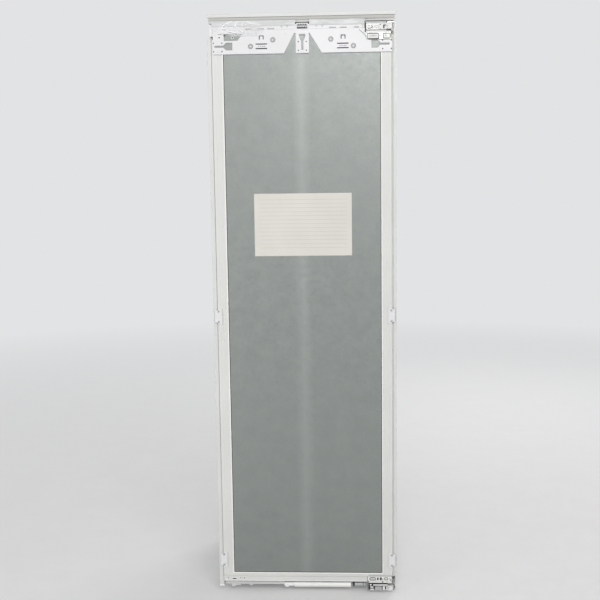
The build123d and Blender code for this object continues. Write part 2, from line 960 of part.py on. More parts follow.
def evaporator():
    """Finned coil behind the duct cover."""
    x = evaporator_width / 2
    y = (interior_rear - evaporator_depth, interior_rear)
    top = fan_z - evaporator_clear
    pitch = (top - evaporator_bottom) / (evaporator_fins - 1)
    middle = (y[0] + y[1]) / 2
    tubes = [rod_z(evaporator_tube_radius, place * x / 2, middle, (evaporator_bottom, top))
             for place in (-1, 0, 1)]
    coil = tubes[0] + tubes[1:]
    for fin in range(evaporator_fins):
        z = evaporator_bottom + fin * pitch
        coil += block((-x, x), y, (z, z + evaporator_fin))
    return coil


# Interior fittings

def shelf_half():
    """Half the width of a glass shelf."""
    return interior_x - shelf_side_gap


def glass_shelves():
    """Glass plates, the lowest one over the crisper drawers."""
    x = shelf_half()
    return group([block((-x, x), (shelf_y[0] + wall, shelf_y[1]), (level, level + shelf_glass))
                  for level in shelf_levels + (crisper_shelf_z,)])


def shelf_trims():
    """Front profiles that grip the glass."""
    x = shelf_half()
    trims = []
    for level in shelf_levels + (crisper_shelf_z,):
        front = shelf_y[0] - shelf_trim_depth + wall
        bar = block((-x, x), (front, shelf_y[0] + wall + shelf_trim_depth / 2),
                    span(level + shelf_glass / 2, shelf_trim_height))
        glass = block((-x - overrun, x + overrun), (shelf_y[0] + wall, shelf_y[1]),
                      (level, level + shelf_glass))
        rib = block((interior_x - rib_reach - lip_gap, interior_x + overrun),
                    (shelf_y[0] - lip_gap, shelf_y[1]), (level - shelf_trim_height, level))
        trims.append(bar - glass - rib - mirror_x(rib))
    return group(trims)


def drawer(low, height, rear):
    """One open drawer with a rim that rides on the runners and a front with a grip."""
    front = cabinet_y + drawer_front_y
    back = rear
    x = drawer_half
    top = low + height
    box = block((-x, x), (front, back), (low, top))
    pocket = block((-x + drawer_wall, x - drawer_wall), (front + drawer_front_wall, back - drawer_wall),
                   (low + drawer_wall, top + overrun))
    lip = block((-x - drawer_rim, x + drawer_rim), (front, front + drawer_front_wall), (low, top))
    grip = block(span(0, grip_width), (front - overrun, front + drawer_front_wall + overrun),
                 (top - 2 * grip_height, top - grip_height))
    rims = block((-x - drawer_rim, x + drawer_rim), (front, back), (top - drawer_wall, top))
    rims -= pocket
    return box + rims + lip - pocket - grip


def drawer_runners():
    """Ledges that the drawers' rims ride on, at both side walls."""
    front = cabinet_y + drawer_front_y + drawer_front_wall + seat_gap
    pieces = []
    for low, height, rear in ((lower_box_z, lower_box_height, step_front),
                              (upper_box_z, upper_box_height, shelf_y[1])):
        top = low + height - drawer_wall - seat_gap
        ledge = block((drawer_half + seat_gap, interior_x), (front, rear), (top - runner_height, top))
        pieces += [ledge, mirror_x(ledge)]
    return group(pieces)


def crisper_box_lower():
    """The lower, shallower drawer in front of the machine step."""
    return drawer(lower_box_z, lower_box_height, step_front - lower_box_rear)


def crisper_box_upper():
    """The upper drawer, over the machine step."""
    return drawer(upper_box_z, upper_box_height, interior_rear - upper_box_rear)


def led_strips():
    """Upright light strips on both side walls."""
    y = cabinet_y + led_inset
    strip = block((interior_x - led_thick, interior_x), span(y, led_width),
                  (led_bottom, interior_top - led_drop))
    return group([strip, mirror_x(strip)])


def panel_y():
    """Front and back of the control panel."""
    return (dyke_y + panel_setback, dyke_y + panel_setback + panel_depth)


def button_places():
    """The middles of the three buttons."""
    z = interior_top - panel_height / 2
    return [(place * button_pitch, z) for place in (-1, 0, 1)]


def control_panel():
    """Housing under the ceiling with openings for the buttons and the light switch."""
    y = panel_y()
    x = panel_width / 2
    z = (interior_top - panel_height, interior_top)
    shell = block((-x, x), y, z)
    inside = block((-x + panel_wall, x - panel_wall), (y[0] + panel_wall, y[1] - panel_wall),
                   (z[0] + panel_wall, z[1] + overrun))
    panel = shell - inside
    ledge_y = y[0] + button_depth + button_travel + panel_wall
    for place_x, place_z in button_places():
        panel -= block(span(place_x, button_width + 2 * button_gap),
                       (y[0] - overrun, y[0] + panel_wall + button_gap),
                       span(place_z, button_height + 2 * button_gap))
        panel += block(span(place_x, button_width), (ledge_y, ledge_y + wall), z)
    guide = block(span(plunger_x, plunger_guide), (y[0], y[0] + plunger_length), z)
    panel += guide
    return panel - rod_y(plunger_radius + plunger_gap, plunger_x, (y[0] - overrun, y[1] - panel_wall),
                         interior_top - panel_height / 2)


def button(place):
    """One push button: a cap with a retaining flange behind the panel."""
    y = panel_y()[0]
    x, z = button_places()[place]
    cap = block(span(x, button_width), (y - button_proud, y + button_depth), span(z, button_height))
    cap = fillet(cap.edges().filter_by(Axis.Y), button_corner)
    stop = block(span(x, button_width + button_flange), (y + panel_wall + button_gap, y + button_depth),
                 span(z, button_height + button_flange))
    return cap + stop


def light_switch_plunger():
    """Plunger that the closed door holds in."""
    z = interior_top - panel_height / 2
    tip = dyke_y + seat_gap
    return fillet(rod_y(plunger_radius, plunger_x, (tip, tip + plunger_length + panel_setback), z).edges()
                  .filter_by(GeomType.CIRCLE).sort_by(Axis.Y)[0], plunger_radius / 2)


def levelling_foot(side):
    """Front foot: a pad, a hexagon collar and a threaded stud."""
    x = side * (cabinet_x - foot_inset)
    y = cabinet_y + foot_setback
    pad = rod_z(foot_radius, x, y, (0, foot_pad))
    pad = fillet(pad.edges().filter_by(GeomType.CIRCLE).sort_by(Axis.Z)[-1], foot_pad / 3)
    collar = Pos(x, y, foot_pad) * extrude(RegularPolygon(foot_collar_radius, 6), amount=foot_collar)
    stud = rod_z(foot_stud_radius, x, y, (foot_pad, foot_stud_top))
    return pad + collar + stud


# Door

def door_outline(inset):
    """The door's front outline with the two hinge notches, shrunk by a wall."""
    x = door_body_half - inset
    left = notch_left - inset
    low = door_bottom + inset
    high = door_top - inset
    return [(-x, low), (left, low), (left, notch_bottom_top + inset), (x, notch_bottom_top + inset),
            (x, notch_z - inset), (left, notch_z - inset), (left, high), (-x, high)]


def skin_outline():
    """The skin's outline, cut away at the top hinge."""
    left = notch_left - frame_wall
    return [(-skin_left, skin_bottom), (skin_right, skin_bottom), (skin_right, notch_z - frame_wall),
            (left, notch_z - frame_wall), (left, skin_top), (-skin_left, skin_top)]


def door_skin():
    """Flat metal sheet behind the front frame."""
    return plate_xz(skin_outline(), (door_foam_y - skin_thick, door_foam_y))


def door_frame():
    """White frame round the skin: side, top and bottom walls with a stepped bottom rail."""
    pan = plate_xz(door_outline(0), (skin_y, liner_back))
    inside = plate_xz(door_outline(frame_wall), (door_foam_y, liner_back + overrun))
    window = plate_xz(skin_outline(), (skin_y - overrun, door_foam_y + overrun))
    groove = block((-door_body_half - overrun, notch_left), (skin_y - overrun, skin_y + frame_face / 2),
                   span(rail_step_bottom, rail_step))
    frame = pan - inside - window - groove
    slot_y = (skin_y - overrun, door_foam_y + overrun)
    for inset in rail_hole_insets:
        frame -= rod_y(small_hole, inset - door_body_half, slot_y, rail_slot_z)
    frame -= block(span(rail_slot_inset - door_body_half, rail_slot_width), slot_y,
                   span(rail_slot_z - rail_slot_drop, small_hole * 2))
    return frame


def dyke_frame(inset, y):
    """The raised ridge round the door's inner face."""
    outer = (dyke_outer - inset)
    inner = (dyke_inner + inset)
    return ring_frame((-outer, outer), (-inner, inner), y, (dyke_bottom + inset, dyke_top - inset),
                      (dyke_bottom + dyke_width - inset, dyke_top - dyke_width + inset))


def door_foam():
    """Foam core of the door, with foam bars that fill the ridge of its inner face."""
    core = plate_xz(door_outline(frame_wall), (door_foam_y, liner_back))
    y = (liner_back, dyke_y - liner_sheet)
    inner = dyke_inner + liner_sheet
    outer = dyke_outer - liner_sheet
    low = (dyke_bottom + liner_sheet, dyke_bottom + dyke_width - liner_sheet)
    high = (dyke_top - dyke_width + liner_sheet, dyke_top - liner_sheet)
    upright = block((inner, outer), y, (low[0], high[1]))
    cross = [block((-inner, inner), y, z) for z in (low, high)]
    return group([core, upright, mirror_x(upright)] + cross)


def lug_levels():
    """The heights at which bins and the dairy box hang."""
    return [level + bin_height / 2 for level in bin_levels] + [dairy_bottom + dairy_height / 2]


def door_liner():
    """Formed inner face of the door with its ridge and the lugs that carry the bins."""
    sheet_plate = plate_xz([(-liner_half, liner_bottom_z), (liner_half, liner_bottom_z),
                            (liner_half, liner_top_z), (-liner_half, liner_top_z)], (liner_back, door_rear_y))
    ridge = dyke_frame(0, (door_rear_y, dyke_y)) - dyke_frame(liner_sheet, (liner_back - overrun,
                                                                          dyke_y - liner_sheet))
    liner = (sheet_plate - dyke_frame(liner_sheet, (liner_back - overrun, dyke_y - liner_sheet))) + ridge
    for z in lug_levels():
        lug = block((dyke_inner - lug_reach, dyke_inner), span((door_rear_y + dyke_y) / 2, dyke_depth / 3),
                    span(z, lug_height))
        liner += lug + mirror_x(lug)
    return liner


def door_gasket():
    """Magnetic seal between the door and the cabinet's front."""
    inner = gasket_outer - gasket_width
    seal = ring_frame((-gasket_outer, gasket_outer), (-inner, inner), (door_rear_y, cabinet_y - gasket_gap),
                      (gasket_bottom, gasket_top), (gasket_bottom + gasket_width, gasket_top - gasket_width))
    waist = ring_frame((-gasket_outer - overrun, gasket_outer + overrun),
                       (-gasket_outer + gasket_lip, gasket_outer - gasket_lip),
                       span((door_rear_y + cabinet_y) / 2, gasket_lip),
                       (gasket_bottom - overrun, gasket_top + overrun),
                       (gasket_bottom + gasket_lip, gasket_top - gasket_lip))
    return seal - waist


def side_strip(side, low):
    """One edge trim with a shallow groove along its face."""
    x = (door_body_half, door_body_half + trim_strip_width)
    y = (front_y + strip_front, front_y + strip_front + strip_depth)
    strip = block(x, y, (low, strip_top))
    groove = block(span(x[0] + trim_strip_width * strip_slot_share, strip_slot),
                   (y[0] - overrun, y[0] + strip_slot), (low - overrun, strip_top + overrun))
    strip = strip - groove
    return strip if side > 0 else mirror_x(strip)


def side_trims():
    """Edge trims on both sides of the door, the left one longer."""
    return group([side_strip(-1, strip_left_bottom), side_strip(1, strip_right_bottom)])


def rectangle_places(x, z, dx, dz):
    """Four hole places about a middle."""
    return [(x + i * dx / 2, z + j * dz / 2) for i in (-1, 1) for j in (-1, 1)]


def key_slot(x, side):
    """A wide-headed slot whose stem points outwards."""
    half = slot_head_height / 2
    stem = slot_stem_height / 2
    end = slot_head_length - slot_taper
    far = slot_head_length + slot_stem_length
    points = [(0, -half), (end, -half), (slot_head_length, -stem), (far, -stem),
              (far, stem), (slot_head_length, stem), (end, half), (0, half)]
    return plate_xz([(x + side * px, slot_z + pz) for px, pz in points], hanger_cut_y())


def hanger_cut_y():
    """How far cuts in the hanger plate run, front to back."""
    return (hanger_y - overrun, skin_y + overrun)


def hanger_plate():
    """Pressed plate at the door's head that carries the furniture door."""
    left, right = -hanger_left, hanger_right
    slope_x = hanger_notch_left - hanger_slope_run
    slope_z = hanger_notch_z + hanger_slope_run
    points = [(left, hanger_bottom), (-v_left_bottom, hanger_bottom), (-v_left_top, v_apex_z),
              (-tongue_left, v_apex_z), (-tongue_left, hanger_bottom), (tongue_right, hanger_bottom),
              (tongue_right, v_apex_z), (v_right_top, v_apex_z), (v_right_bottom, hanger_bottom),
              (right, hanger_bottom), (right, hanger_notch_z), (hanger_notch_left, hanger_notch_z),
              (slope_x, slope_z), (slope_x, hanger_top), (left, hanger_top)]
    plate = plate_xz(points, (hanger_y, skin_y))
    cut_y = hanger_cut_y()
    head = keyhole_head
    stem = keyhole_stem / 2
    keyhole = [(keyhole_x - head, keyhole_head_z), (keyhole_x + head, keyhole_head_z),
               (keyhole_x + stem, keyhole_shoulder_z), (keyhole_x + stem, keyhole_bottom),
               (keyhole_x - stem, keyhole_bottom), (keyhole_x - stem, keyhole_shoulder_z)]
    plate -= plate_xz(keyhole, cut_y)
    for x, z in (rectangle_places(keyhole_x, tongue_hole_z, tongue_hole_dx, tongue_hole_dz)
                 + rectangle_places(left_tab_x, tab_hole_z, tab_hole_dx, tab_hole_dz)
                 + rectangle_places(right_tab_x, tab_hole_z, tab_hole_dx, tab_hole_dz)):
        plate -= rod_y(small_hole, x, cut_y, z)
    plate -= key_slot(left_slot_x, -1)
    plate -= key_slot(right_slot_x, 1)
    plate -= plate_xz([(upper_cut_left, upper_cut_bottom),
                       (upper_cut_right - upper_cut_slope, upper_cut_bottom),
                       (upper_cut_right, upper_cut_top), (upper_cut_left, upper_cut_top)], cut_y)
    for x, z in lance_places:
        plate -= block(span(x, lance_width), cut_y,
                       (z + lance_height / 2, z + lance_height / 2 + lance_slot))
        for side in (-1, 1):
            plate -= block(span(x + side * (lance_width - lance_slot) / 2, lance_slot), cut_y,
                           (z - lance_height / 2, z + lance_height / 2 + lance_slot))
    for x, z in ladder_places:
        for side in (-1, 1):
            plate -= block(span(x, ladder_width), cut_y, span(z + side * ladder_pitch / 2, ladder_slot))
    for x, z in ring_places:
        boss = rod_y(ring_radius, x, (hanger_y - ring_height, hanger_y), z)
        plate += boss - rod_y(ring_radius / 2, x, (hanger_y - 2 * ring_height, hanger_y), z)
    return Pos(0, 0, door_top) * plate


def hanger_adjuster():
    """Dark adjuster at the middle of the plate's head: a base, two toothed rows and a screw."""
    base_y = (hanger_y - adjuster_thick, hanger_y)
    x = (keyhole_x - adjuster_width / 2, keyhole_x + adjuster_width / 2)
    z = span(adjuster_z, adjuster_height * adjuster_face_share)
    block_piece = block(x, base_y, z)
    tooth = adjuster_width / (2 * adjuster_teeth + 1)
    for row in (-1, 1):
        for count in range(adjuster_teeth):
            place = x[0] + tooth * (2 * count + 1) + tooth / 2
            block_piece -= block(span(place, tooth), (base_y[0] - overrun, base_y[0] + adjuster_thick / 2),
                                 span(adjuster_z + row * adjuster_height / 4,
                                      adjuster_height * adjuster_slot_share))
    return Pos(0, 0, door_top) * block_piece


def bracket_x():
    """The side brackets' middle."""
    return door_body_half + bracket_overlap - bracket_width / 2


def bracket_y():
    """Front and back of a side bracket's face."""
    return (skin_y - bracket_thick, skin_y)


def side_brackets():
    """Angle brackets for the furniture door, two on each side."""
    pieces = []
    for level in bracket_levels:
        x = span(bracket_x(), bracket_width)
        y = bracket_y()
        face = block((x[0], door_body_half), y, span(level, bracket_height))
        jog = block((door_body_half - bracket_thick, x[1]), y,
                    span(level, bracket_height * bracket_jog_share))
        lip = block((x[0], x[0] + bracket_thick), (y[0] - bracket_thick, y[0]), span(level, bracket_height))
        bracket = face + jog + lip
        for side in (-1, 1):
            bracket -= rod_y(screw_radius + screw_gap, bracket_x(), (y[0] - overrun, y[1] + overrun),
                             level + side * bracket_screw_pitch / 2)
        pieces += [bracket, mirror_x(bracket)]
    return group(pieces)


def screw_y(x, z, seat, length):
    """A pan-head screw along Y whose head seats at y = seat, with a cross recess."""
    head = rod_y(screw_head_radius, x, (seat - screw_head, seat), z)
    head = fillet(head.edges().filter_by(GeomType.CIRCLE).sort_by(Axis.Y)[0], screw_head * screw_edge_share)
    recess_y = (seat - screw_head - overrun, seat - screw_head / 2)
    recess = block(span(x, screw_radius * screw_recess_share), recess_y, span(z, screw_radius / 2))
    recess += block(span(x, screw_radius / 2), recess_y, span(z, screw_radius * screw_recess_share))
    return head + rod_y(screw_radius, x, (seat, seat + length), z) - recess


def door_screws():
    """Screws of the side brackets and of the hinges' door plates."""
    pieces = []
    for level in bracket_levels:
        for side in (-1, 1):
            for hand in (-1, 1):
                pieces.append(screw_y(hand * bracket_x(), level + side * bracket_screw_pitch / 2,
                                      bracket_y()[0], bracket_thick))
    for hinge in (TOP, BOTTOM):
        pieces.append(screw_y(apron_screw_x(), apron_screw_z(hinge), hinge_front(), hinge_face))
    return group(pieces)


def fitting_card():
    """Blank paper card on the skin."""
    back = door_foam_y - skin_thick
    return block((card_left, card_left + card_width), (back - card_thick, back),
                 (card_bottom, card_bottom + card_height))


# Folding hinges, each stacked away from its door plate: the top one upwards, the bottom one downwards

TOP = (top_hinge_z, 1)
BOTTOM = (bottom_hinge_z, -1)


def pivot(offsets):
    """A pivot's place in plan."""
    return (cabinet_x - offsets[0], cabinet_y - offsets[1])


def levels(hinge, low, thick):
    """The heights of one layer of a hinge."""
    base, way = hinge
    ends = (base + way * low, base + way * (low + thick))
    return (min(ends), max(ends))


def hinge_front():
    """The front of a hinge's apron where a screw head seats."""
    return skin_y - hanger_thick - hinge_face


def apron_screw_x():
    """The apron's screw is on the stem between its two windows."""
    return door_body_half - (apron_window_left[1] + apron_window_right[0]) / 2


def apron_screw_z(hinge):
    """The screw's height on the stem."""
    return sum(levels(hinge, -apron_height / 2 + hinge_face, 0)) / 2


def arm(start, end, hinge, low, thick, end_gap):
    """A flat link with round ends, bored at both pivots."""
    (x0, y0), (x1, y1) = pivot(start), pivot(end)
    length = math.dist((x0, y0), (x1, y1))
    angle = math.degrees(math.atan2(y1 - y0, x1 - x0))
    z = levels(hinge, low, thick)
    bar = extrude(Rectangle(length, 2 * arm_half_width), amount=z[1] - z[0])
    link = Pos((x0 + x1) / 2, (y0 + y1) / 2, z[0]) * Rot(0, 0, angle) * bar
    link = link + rod_z(arm_half_width, x0, y0, z) + rod_z(arm_half_width, x1, y1, z)
    link -= rod_z(pin_radius + running_gap, x0, y0, (z[0] - overrun, z[1] + overrun))
    return link - rod_z(pin_radius + end_gap, x1, y1, (z[0] - overrun, z[1] + overrun))


def long_arm(hinge):
    """The long link, from the cabinet's pivot to the door's."""
    end_gap = running_gap if hinge == TOP else open_pivot_gap
    return arm(pivot_a1, pivot_b1, hinge, long_arm_level, long_arm_thick, end_gap)


def short_arm(hinge):
    """The short link, whose pivot on the door has play."""
    return arm(pivot_a2, pivot_b2, hinge, short_arm_level, short_arm_thick, open_pivot_gap)


def hinge_door_plate(hinge):
    """Door half of a hinge: a plate under the links with two pins, a face and an apron with windows."""
    front = hinge_front()
    inner = front + hinge_face
    plate = block((hinge_left, apron_right), (front, inner + door_plate_rear + hanger_thick),
                  levels(hinge, 0, door_plate_thick))
    face = block((hinge_left, hinge_face_right), (front, inner), levels(hinge, 0, hinge_face_height))
    apron = block((hinge_left, apron_right), (front, inner), levels(hinge, -apron_height, apron_height))
    for outer, inset in (apron_window_left, apron_window_right):
        apron -= block((door_body_half - outer, door_body_half - inset), (front - overrun, inner + overrun),
                       span(apron_screw_z(hinge), apron_window_height))
    apron -= rod_y(screw_radius + screw_gap, apron_screw_x(), (front - overrun, inner + overrun),
                   apron_screw_z(hinge))
    half = plate + face + apron
    for level in hinge_hole_levels:
        half -= rod_y(small_hole, door_body_half - hinge_hole_inset, (front - overrun, inner + overrun),
                      sum(levels(hinge, level, 0)) / 2)
    for offsets, top in ((pivot_b1, long_arm_level + long_arm_thick),
                         (pivot_b2, short_arm_level + short_arm_thick)):
        x, y = pivot(offsets)
        half += rod_z(pin_radius, x, y, levels(hinge, door_plate_thick, top - door_plate_thick))
        collar = short_arm_level - door_plate_thick - seat_gap
        half += rod_z(arm_half_width, x, y, levels(hinge, door_plate_thick, collar))
    return half


def hinge_cabinet_plate(hinge):
    """Cabinet half of a hinge: a plate with two hanging pins and a flange screwed to the cabinet's front."""
    x = (cabinet_x - cabinet_plate_left, cabinet_x - sheet)
    y = (cabinet_y - cabinet_plate_reach, cabinet_y)
    plate = block(x, y, levels(hinge, cabinet_plate_level, cabinet_plate_thick))
    flange_low = -door_plate_thick
    flange = block(x, (cabinet_y - flange_thick, cabinet_y),
                   levels(hinge, flange_low, cabinet_plate_level - flange_low))
    half = plate + flange
    for offsets, low in ((pivot_a1, long_arm_level), (pivot_a2, short_arm_level)):
        px, py = pivot(offsets)
        half += rod_z(pin_radius, px, py, levels(hinge, low, cabinet_plate_level - low))
    px, py = pivot(pivot_a1)
    collar = long_arm_level + long_arm_thick + seat_gap
    half += rod_z(arm_half_width, px, py, levels(hinge, collar, cabinet_plate_level - collar))
    for level in cabinet_screw_levels:
        half -= rod_y(screw_radius + screw_gap, sum(x) / 2, (y[1] - flange_thick - overrun, y[1] + overrun),
                      sum(levels(hinge, level, 0)) / 2)
    return half


def cabinet_screws():
    """Screws of the hinges' cabinet plates."""
    x = cabinet_x - (cabinet_plate_left + sheet) / 2
    return group([screw_y(x, sum(levels(hinge, level, 0)) / 2, cabinet_y - flange_thick, flange_thick)
                  for hinge in (TOP, BOTTOM) for level in cabinet_screw_levels])


# Damper

def damper_y():
    """The damper's middle, front to back."""
    return front_y + damper_depth


def damper_cylinder():
    """Soft-close damper body with its tail and the strap that hangs it from the door's bottom."""
    y = damper_y()
    body = rod_x(damper_radius, (damper_left, damper_right), y, damper_z)
    tail = rod_x(damper_tail_radius, (damper_tail_left, damper_left), y, damper_z)
    strap_top = door_bottom
    body += tail
    for x in (damper_left + damper_hanger_width, damper_right - damper_hanger_width):
        body += block(span(x, damper_hanger_width), span(y, damper_radius), (damper_z, strap_top))
    return body - rod_x(rod_radius + running_gap, (damper_right - rod_inside - damper_travel, damper_right
                                                   + overrun), y, damper_z)


def damper_rod():
    """Damper rod with the end piece that meets the hinge."""
    y = damper_y()
    rod = rod_x(rod_radius, (damper_right - rod_inside, rod_end_left), y, damper_z)
    end = rod_x(rod_end_radius, (rod_end_left, rod_end_left + rod_end_length), y, damper_z)
    flat = block((rod_end_left - overrun, rod_end_left + rod_end_length + overrun),
                 (y - rod_end_radius - overrun, y - rod_end_radius * rod_flat_share),
                 span(damper_z, 4 * rod_end_radius))
    return rod + (end - flat)


# Door storage

def tray(low, height, front_height):
    """An open tray between the door's ridges, lower on the side that faces the cabinet."""
    x = dyke_inner - bin_gap
    y = (door_rear_y + bin_gap, door_rear_y + bin_depth)
    shell = block((-x, x), y, (low, low + height))
    inside = block((-x + bin_wall, x - bin_wall), (y[0] + bin_wall, y[1] - bin_wall),
                   (low + bin_wall, low + height + overrun))
    low_side = bar_yz([(dyke_y, low + height + overrun), (dyke_y, low + height), (y[1] - bin_wall * 2,
                      low + front_height), (y[1] + overrun, low + front_height),
                      (y[1] + overrun, low + height + overrun)], (-x - overrun, x + overrun))
    body = shell - inside - low_side
    middle = (door_rear_y + dyke_y) / 2
    notch = block((x - lug_reach - 2 * bin_gap, x + overrun), span(middle, dyke_depth / 3 + 2 * bin_gap),
                  (low - overrun, low + height / 2 + lug_height / 2 + bin_gap))
    housing = block((x - lug_reach - 2 * bin_gap - bin_wall, x),
                    (y[0], middle + dyke_depth / 6 + bin_gap + bin_wall),
                    (low, low + height / 2 + lug_height / 2 + bin_gap + bin_wall))
    body = body + housing + mirror_x(housing)
    return body - notch - mirror_x(notch)


def door_bins():
    """Open bins on the door."""
    return group([tray(level, bin_height, bin_height * bin_front_share) for level in bin_levels])


def lid_axis():
    """The dairy lid's pivot line in Y and Z."""
    return (door_rear_y + bin_depth * lid_axis_share, dairy_bottom + dairy_height + lid_pin_radius + lid_gap)


def dairy_box():
    """Dairy compartment with two ears that hold the lid."""
    box = tray(dairy_bottom, dairy_height, dairy_front_height)
    y, z = lid_axis()
    x = dyke_inner - bin_gap
    ear_block = block((x - lid_ear, x), span(y, lid_pin_radius * 4),
                      (dairy_bottom + dairy_height - bin_wall, z + lid_pin_radius * 2))
    ear_block -= rod_x(lid_pin_radius + running_gap, (x - 2 * lid_ear, x + overrun), y, z)
    return box + ear_block + mirror_x(ear_block)


def dairy_lid():
    """Curved lid over the dairy box, on two pins."""
    y, z = lid_axis()
    x = dyke_inner - bin_gap - lid_ear - lip_gap
    far = door_rear_y + bin_depth + lid_wall + lip_gap
    knee = far - dairy_height / 3
    low = dairy_bottom + dairy_front_height - lid_wall
    base = dairy_bottom + dairy_height + lid_gap
    outer = [(y, base + lid_wall), (knee, base + lid_wall), (far, base - dairy_height / 4), (far, low),
             (far - lid_wall, low), (far - lid_wall, base - dairy_height / 4 - lid_wall / 2),
             (knee - lid_wall / 2, base), (y, base)]
    panel = bar_yz(outer, (-x, x))
    barrel = rod_x(lid_barrel_radius, (-x, x), y, z)
    pins = rod_x(lid_pin_radius, (-x - lid_ear, x + lid_ear), y, z)
    return panel + barrel + pins


def nodes():
    """Every sub-part by its node's name."""
    return {
        "cabinet_shell": cabinet_shell(),
        "back_panel": back_panel(),
        "insulation_foam": insulation_foam(),
        "inner_liner": inner_liner(),
        "base_frame": base_frame(),
        "top_trim": top_trim(),
        "machine_tray": machine_tray(),
        "rear_rollers": rear_rollers(),
        "levelling_foot_left": levelling_foot(-1),
        "levelling_foot_right": levelling_foot(1),
        "compressor": compressor(),
        "compressor_mounts": compressor_mounts(),
        "relay_box": relay_box(),
        "mains_inlet": mains_inlet(),
        "drip_tray": drip_tray(),
        "drain_tube": drain_tube(),
        "filter_drier": filter_drier(),
        "refrigerant_tubes": refrigerant_tubes(),
        "condenser": condenser(),
        "wall_spacers": wall_spacers(),
        "air_duct_cover": air_duct_cover(),
        "fan_motor": fan_motor(),
        "fan_rotor": fan_rotor(),
        "evaporator": evaporator(),
        "glass_shelves": glass_shelves(),
        "shelf_trims": shelf_trims(),
        "drawer_runners": drawer_runners(),
        "crisper_box_lower": crisper_box_lower(),
        "crisper_box_upper": crisper_box_upper(),
        "led_strips": led_strips(),
        "control_panel": control_panel(),
        "temperature_button": button(0),
        "mode_button": button(1),
        "light_button": button(2),
        "light_switch_plunger": light_switch_plunger(),
        "door_skin": door_skin(),
        "door_frame": door_frame(),
        "door_foam": door_foam(),
        "door_liner": door_liner(),
        "door_gasket": door_gasket(),
        "side_trims": side_trims(),
        "hanger_plate": hanger_plate(),
        "hanger_adjuster": hanger_adjuster(),
        "side_brackets": side_brackets(),
        "door_screws": door_screws(),
        "fitting_card": fitting_card(),
        "hinge_door_plate_top": hinge_door_plate(TOP),
        "hinge_door_plate_bottom": hinge_door_plate(BOTTOM),
        "hinge_long_arm_top": long_arm(TOP),
        "hinge_long_arm_bottom": long_arm(BOTTOM),
        "hinge_short_arm_top": short_arm(TOP),
        "hinge_short_arm_bottom": short_arm(BOTTOM),
        "hinge_cabinet_plate_top": hinge_cabinet_plate(TOP),
        "hinge_cabinet_plate_bottom": hinge_cabinet_plate(BOTTOM),
        "cabinet_screws": cabinet_screws(),
        "damper_cylinder": damper_cylinder(),
        "damper_rod": damper_rod(),
        "door_bins": door_bins(),
        "dairy_box": dairy_box(),
        "dairy_lid": dairy_lid(),
    }


def main():
    """Write one STEP file per sub-part."""
    os.makedirs("parts", exist_ok=True)
    for name, shape in nodes().items():
        export_step(shape, f"parts/{name}.step")
        print(name, "volume", round(shape.volume))


main()
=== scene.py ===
"""A panel-ready larder refrigerator, dressed for a studio picture.

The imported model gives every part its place, in metres. This script rounds the parts that show, adds the
small fittings of the door's front, and gives every surface its finish.
"""
from __future__ import annotations

import json
import logging
import math
from dataclasses import dataclass
from enum import Enum
from typing import Callable, Sequence

import bpy
from mathutils import Matrix, Vector

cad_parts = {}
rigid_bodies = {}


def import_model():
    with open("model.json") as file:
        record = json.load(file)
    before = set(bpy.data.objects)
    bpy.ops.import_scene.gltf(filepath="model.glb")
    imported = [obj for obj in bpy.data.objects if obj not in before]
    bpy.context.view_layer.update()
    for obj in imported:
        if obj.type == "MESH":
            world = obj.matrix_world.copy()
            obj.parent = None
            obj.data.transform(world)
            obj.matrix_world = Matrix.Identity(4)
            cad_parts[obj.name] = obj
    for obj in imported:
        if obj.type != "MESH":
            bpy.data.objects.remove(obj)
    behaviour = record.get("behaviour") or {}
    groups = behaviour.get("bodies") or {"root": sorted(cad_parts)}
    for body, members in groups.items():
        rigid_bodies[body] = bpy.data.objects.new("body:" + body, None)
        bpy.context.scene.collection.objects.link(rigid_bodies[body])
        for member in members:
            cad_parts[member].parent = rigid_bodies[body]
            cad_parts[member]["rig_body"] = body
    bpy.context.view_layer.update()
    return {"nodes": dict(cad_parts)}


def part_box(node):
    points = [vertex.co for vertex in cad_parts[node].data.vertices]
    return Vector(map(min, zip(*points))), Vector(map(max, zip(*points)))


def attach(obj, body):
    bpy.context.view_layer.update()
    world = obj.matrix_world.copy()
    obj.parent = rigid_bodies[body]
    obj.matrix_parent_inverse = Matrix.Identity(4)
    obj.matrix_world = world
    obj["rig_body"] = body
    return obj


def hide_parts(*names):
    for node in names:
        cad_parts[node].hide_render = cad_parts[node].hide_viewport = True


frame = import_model()
LOG = logging.getLogger("refrigerator")

Colour = tuple[float, float, float, float]
Piece = bpy.types.Object
Test = Callable[[Vector, Vector], bool]
Span = tuple[float, float]
Gap = tuple[Span, Span]
Bar = tuple[Span, Span, float]
Outline = tuple[Span, Span, float, float]
MM = 0.001


def box_mm(node: str) -> tuple[Vector, Vector]:
    """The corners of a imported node's box in millimetres."""
    low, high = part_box(node)
    return Vector(low) / MM, Vector(high) / MM


def tone(red: int, green: int, blue: int, alpha: float = 1.0) -> Colour:
    """A colour as a screen shows it, turned into the linear values that shaders take.

    Args:
        red: Red from 0 to 255.
        green: Green from 0 to 255.
        blue: Blue from 0 to 255.
        alpha: Cover from 0 to 1.

    Returns:
        The linear colour with its alpha.
    """
    shares = (red / 255, green / 255, blue / 255)
    linear = [share / 12.92 if share <= 0.04045 else ((share + 0.055) / 1.055) ** 2.4 for share in shares]
    return (linear[0], linear[1], linear[2], alpha)


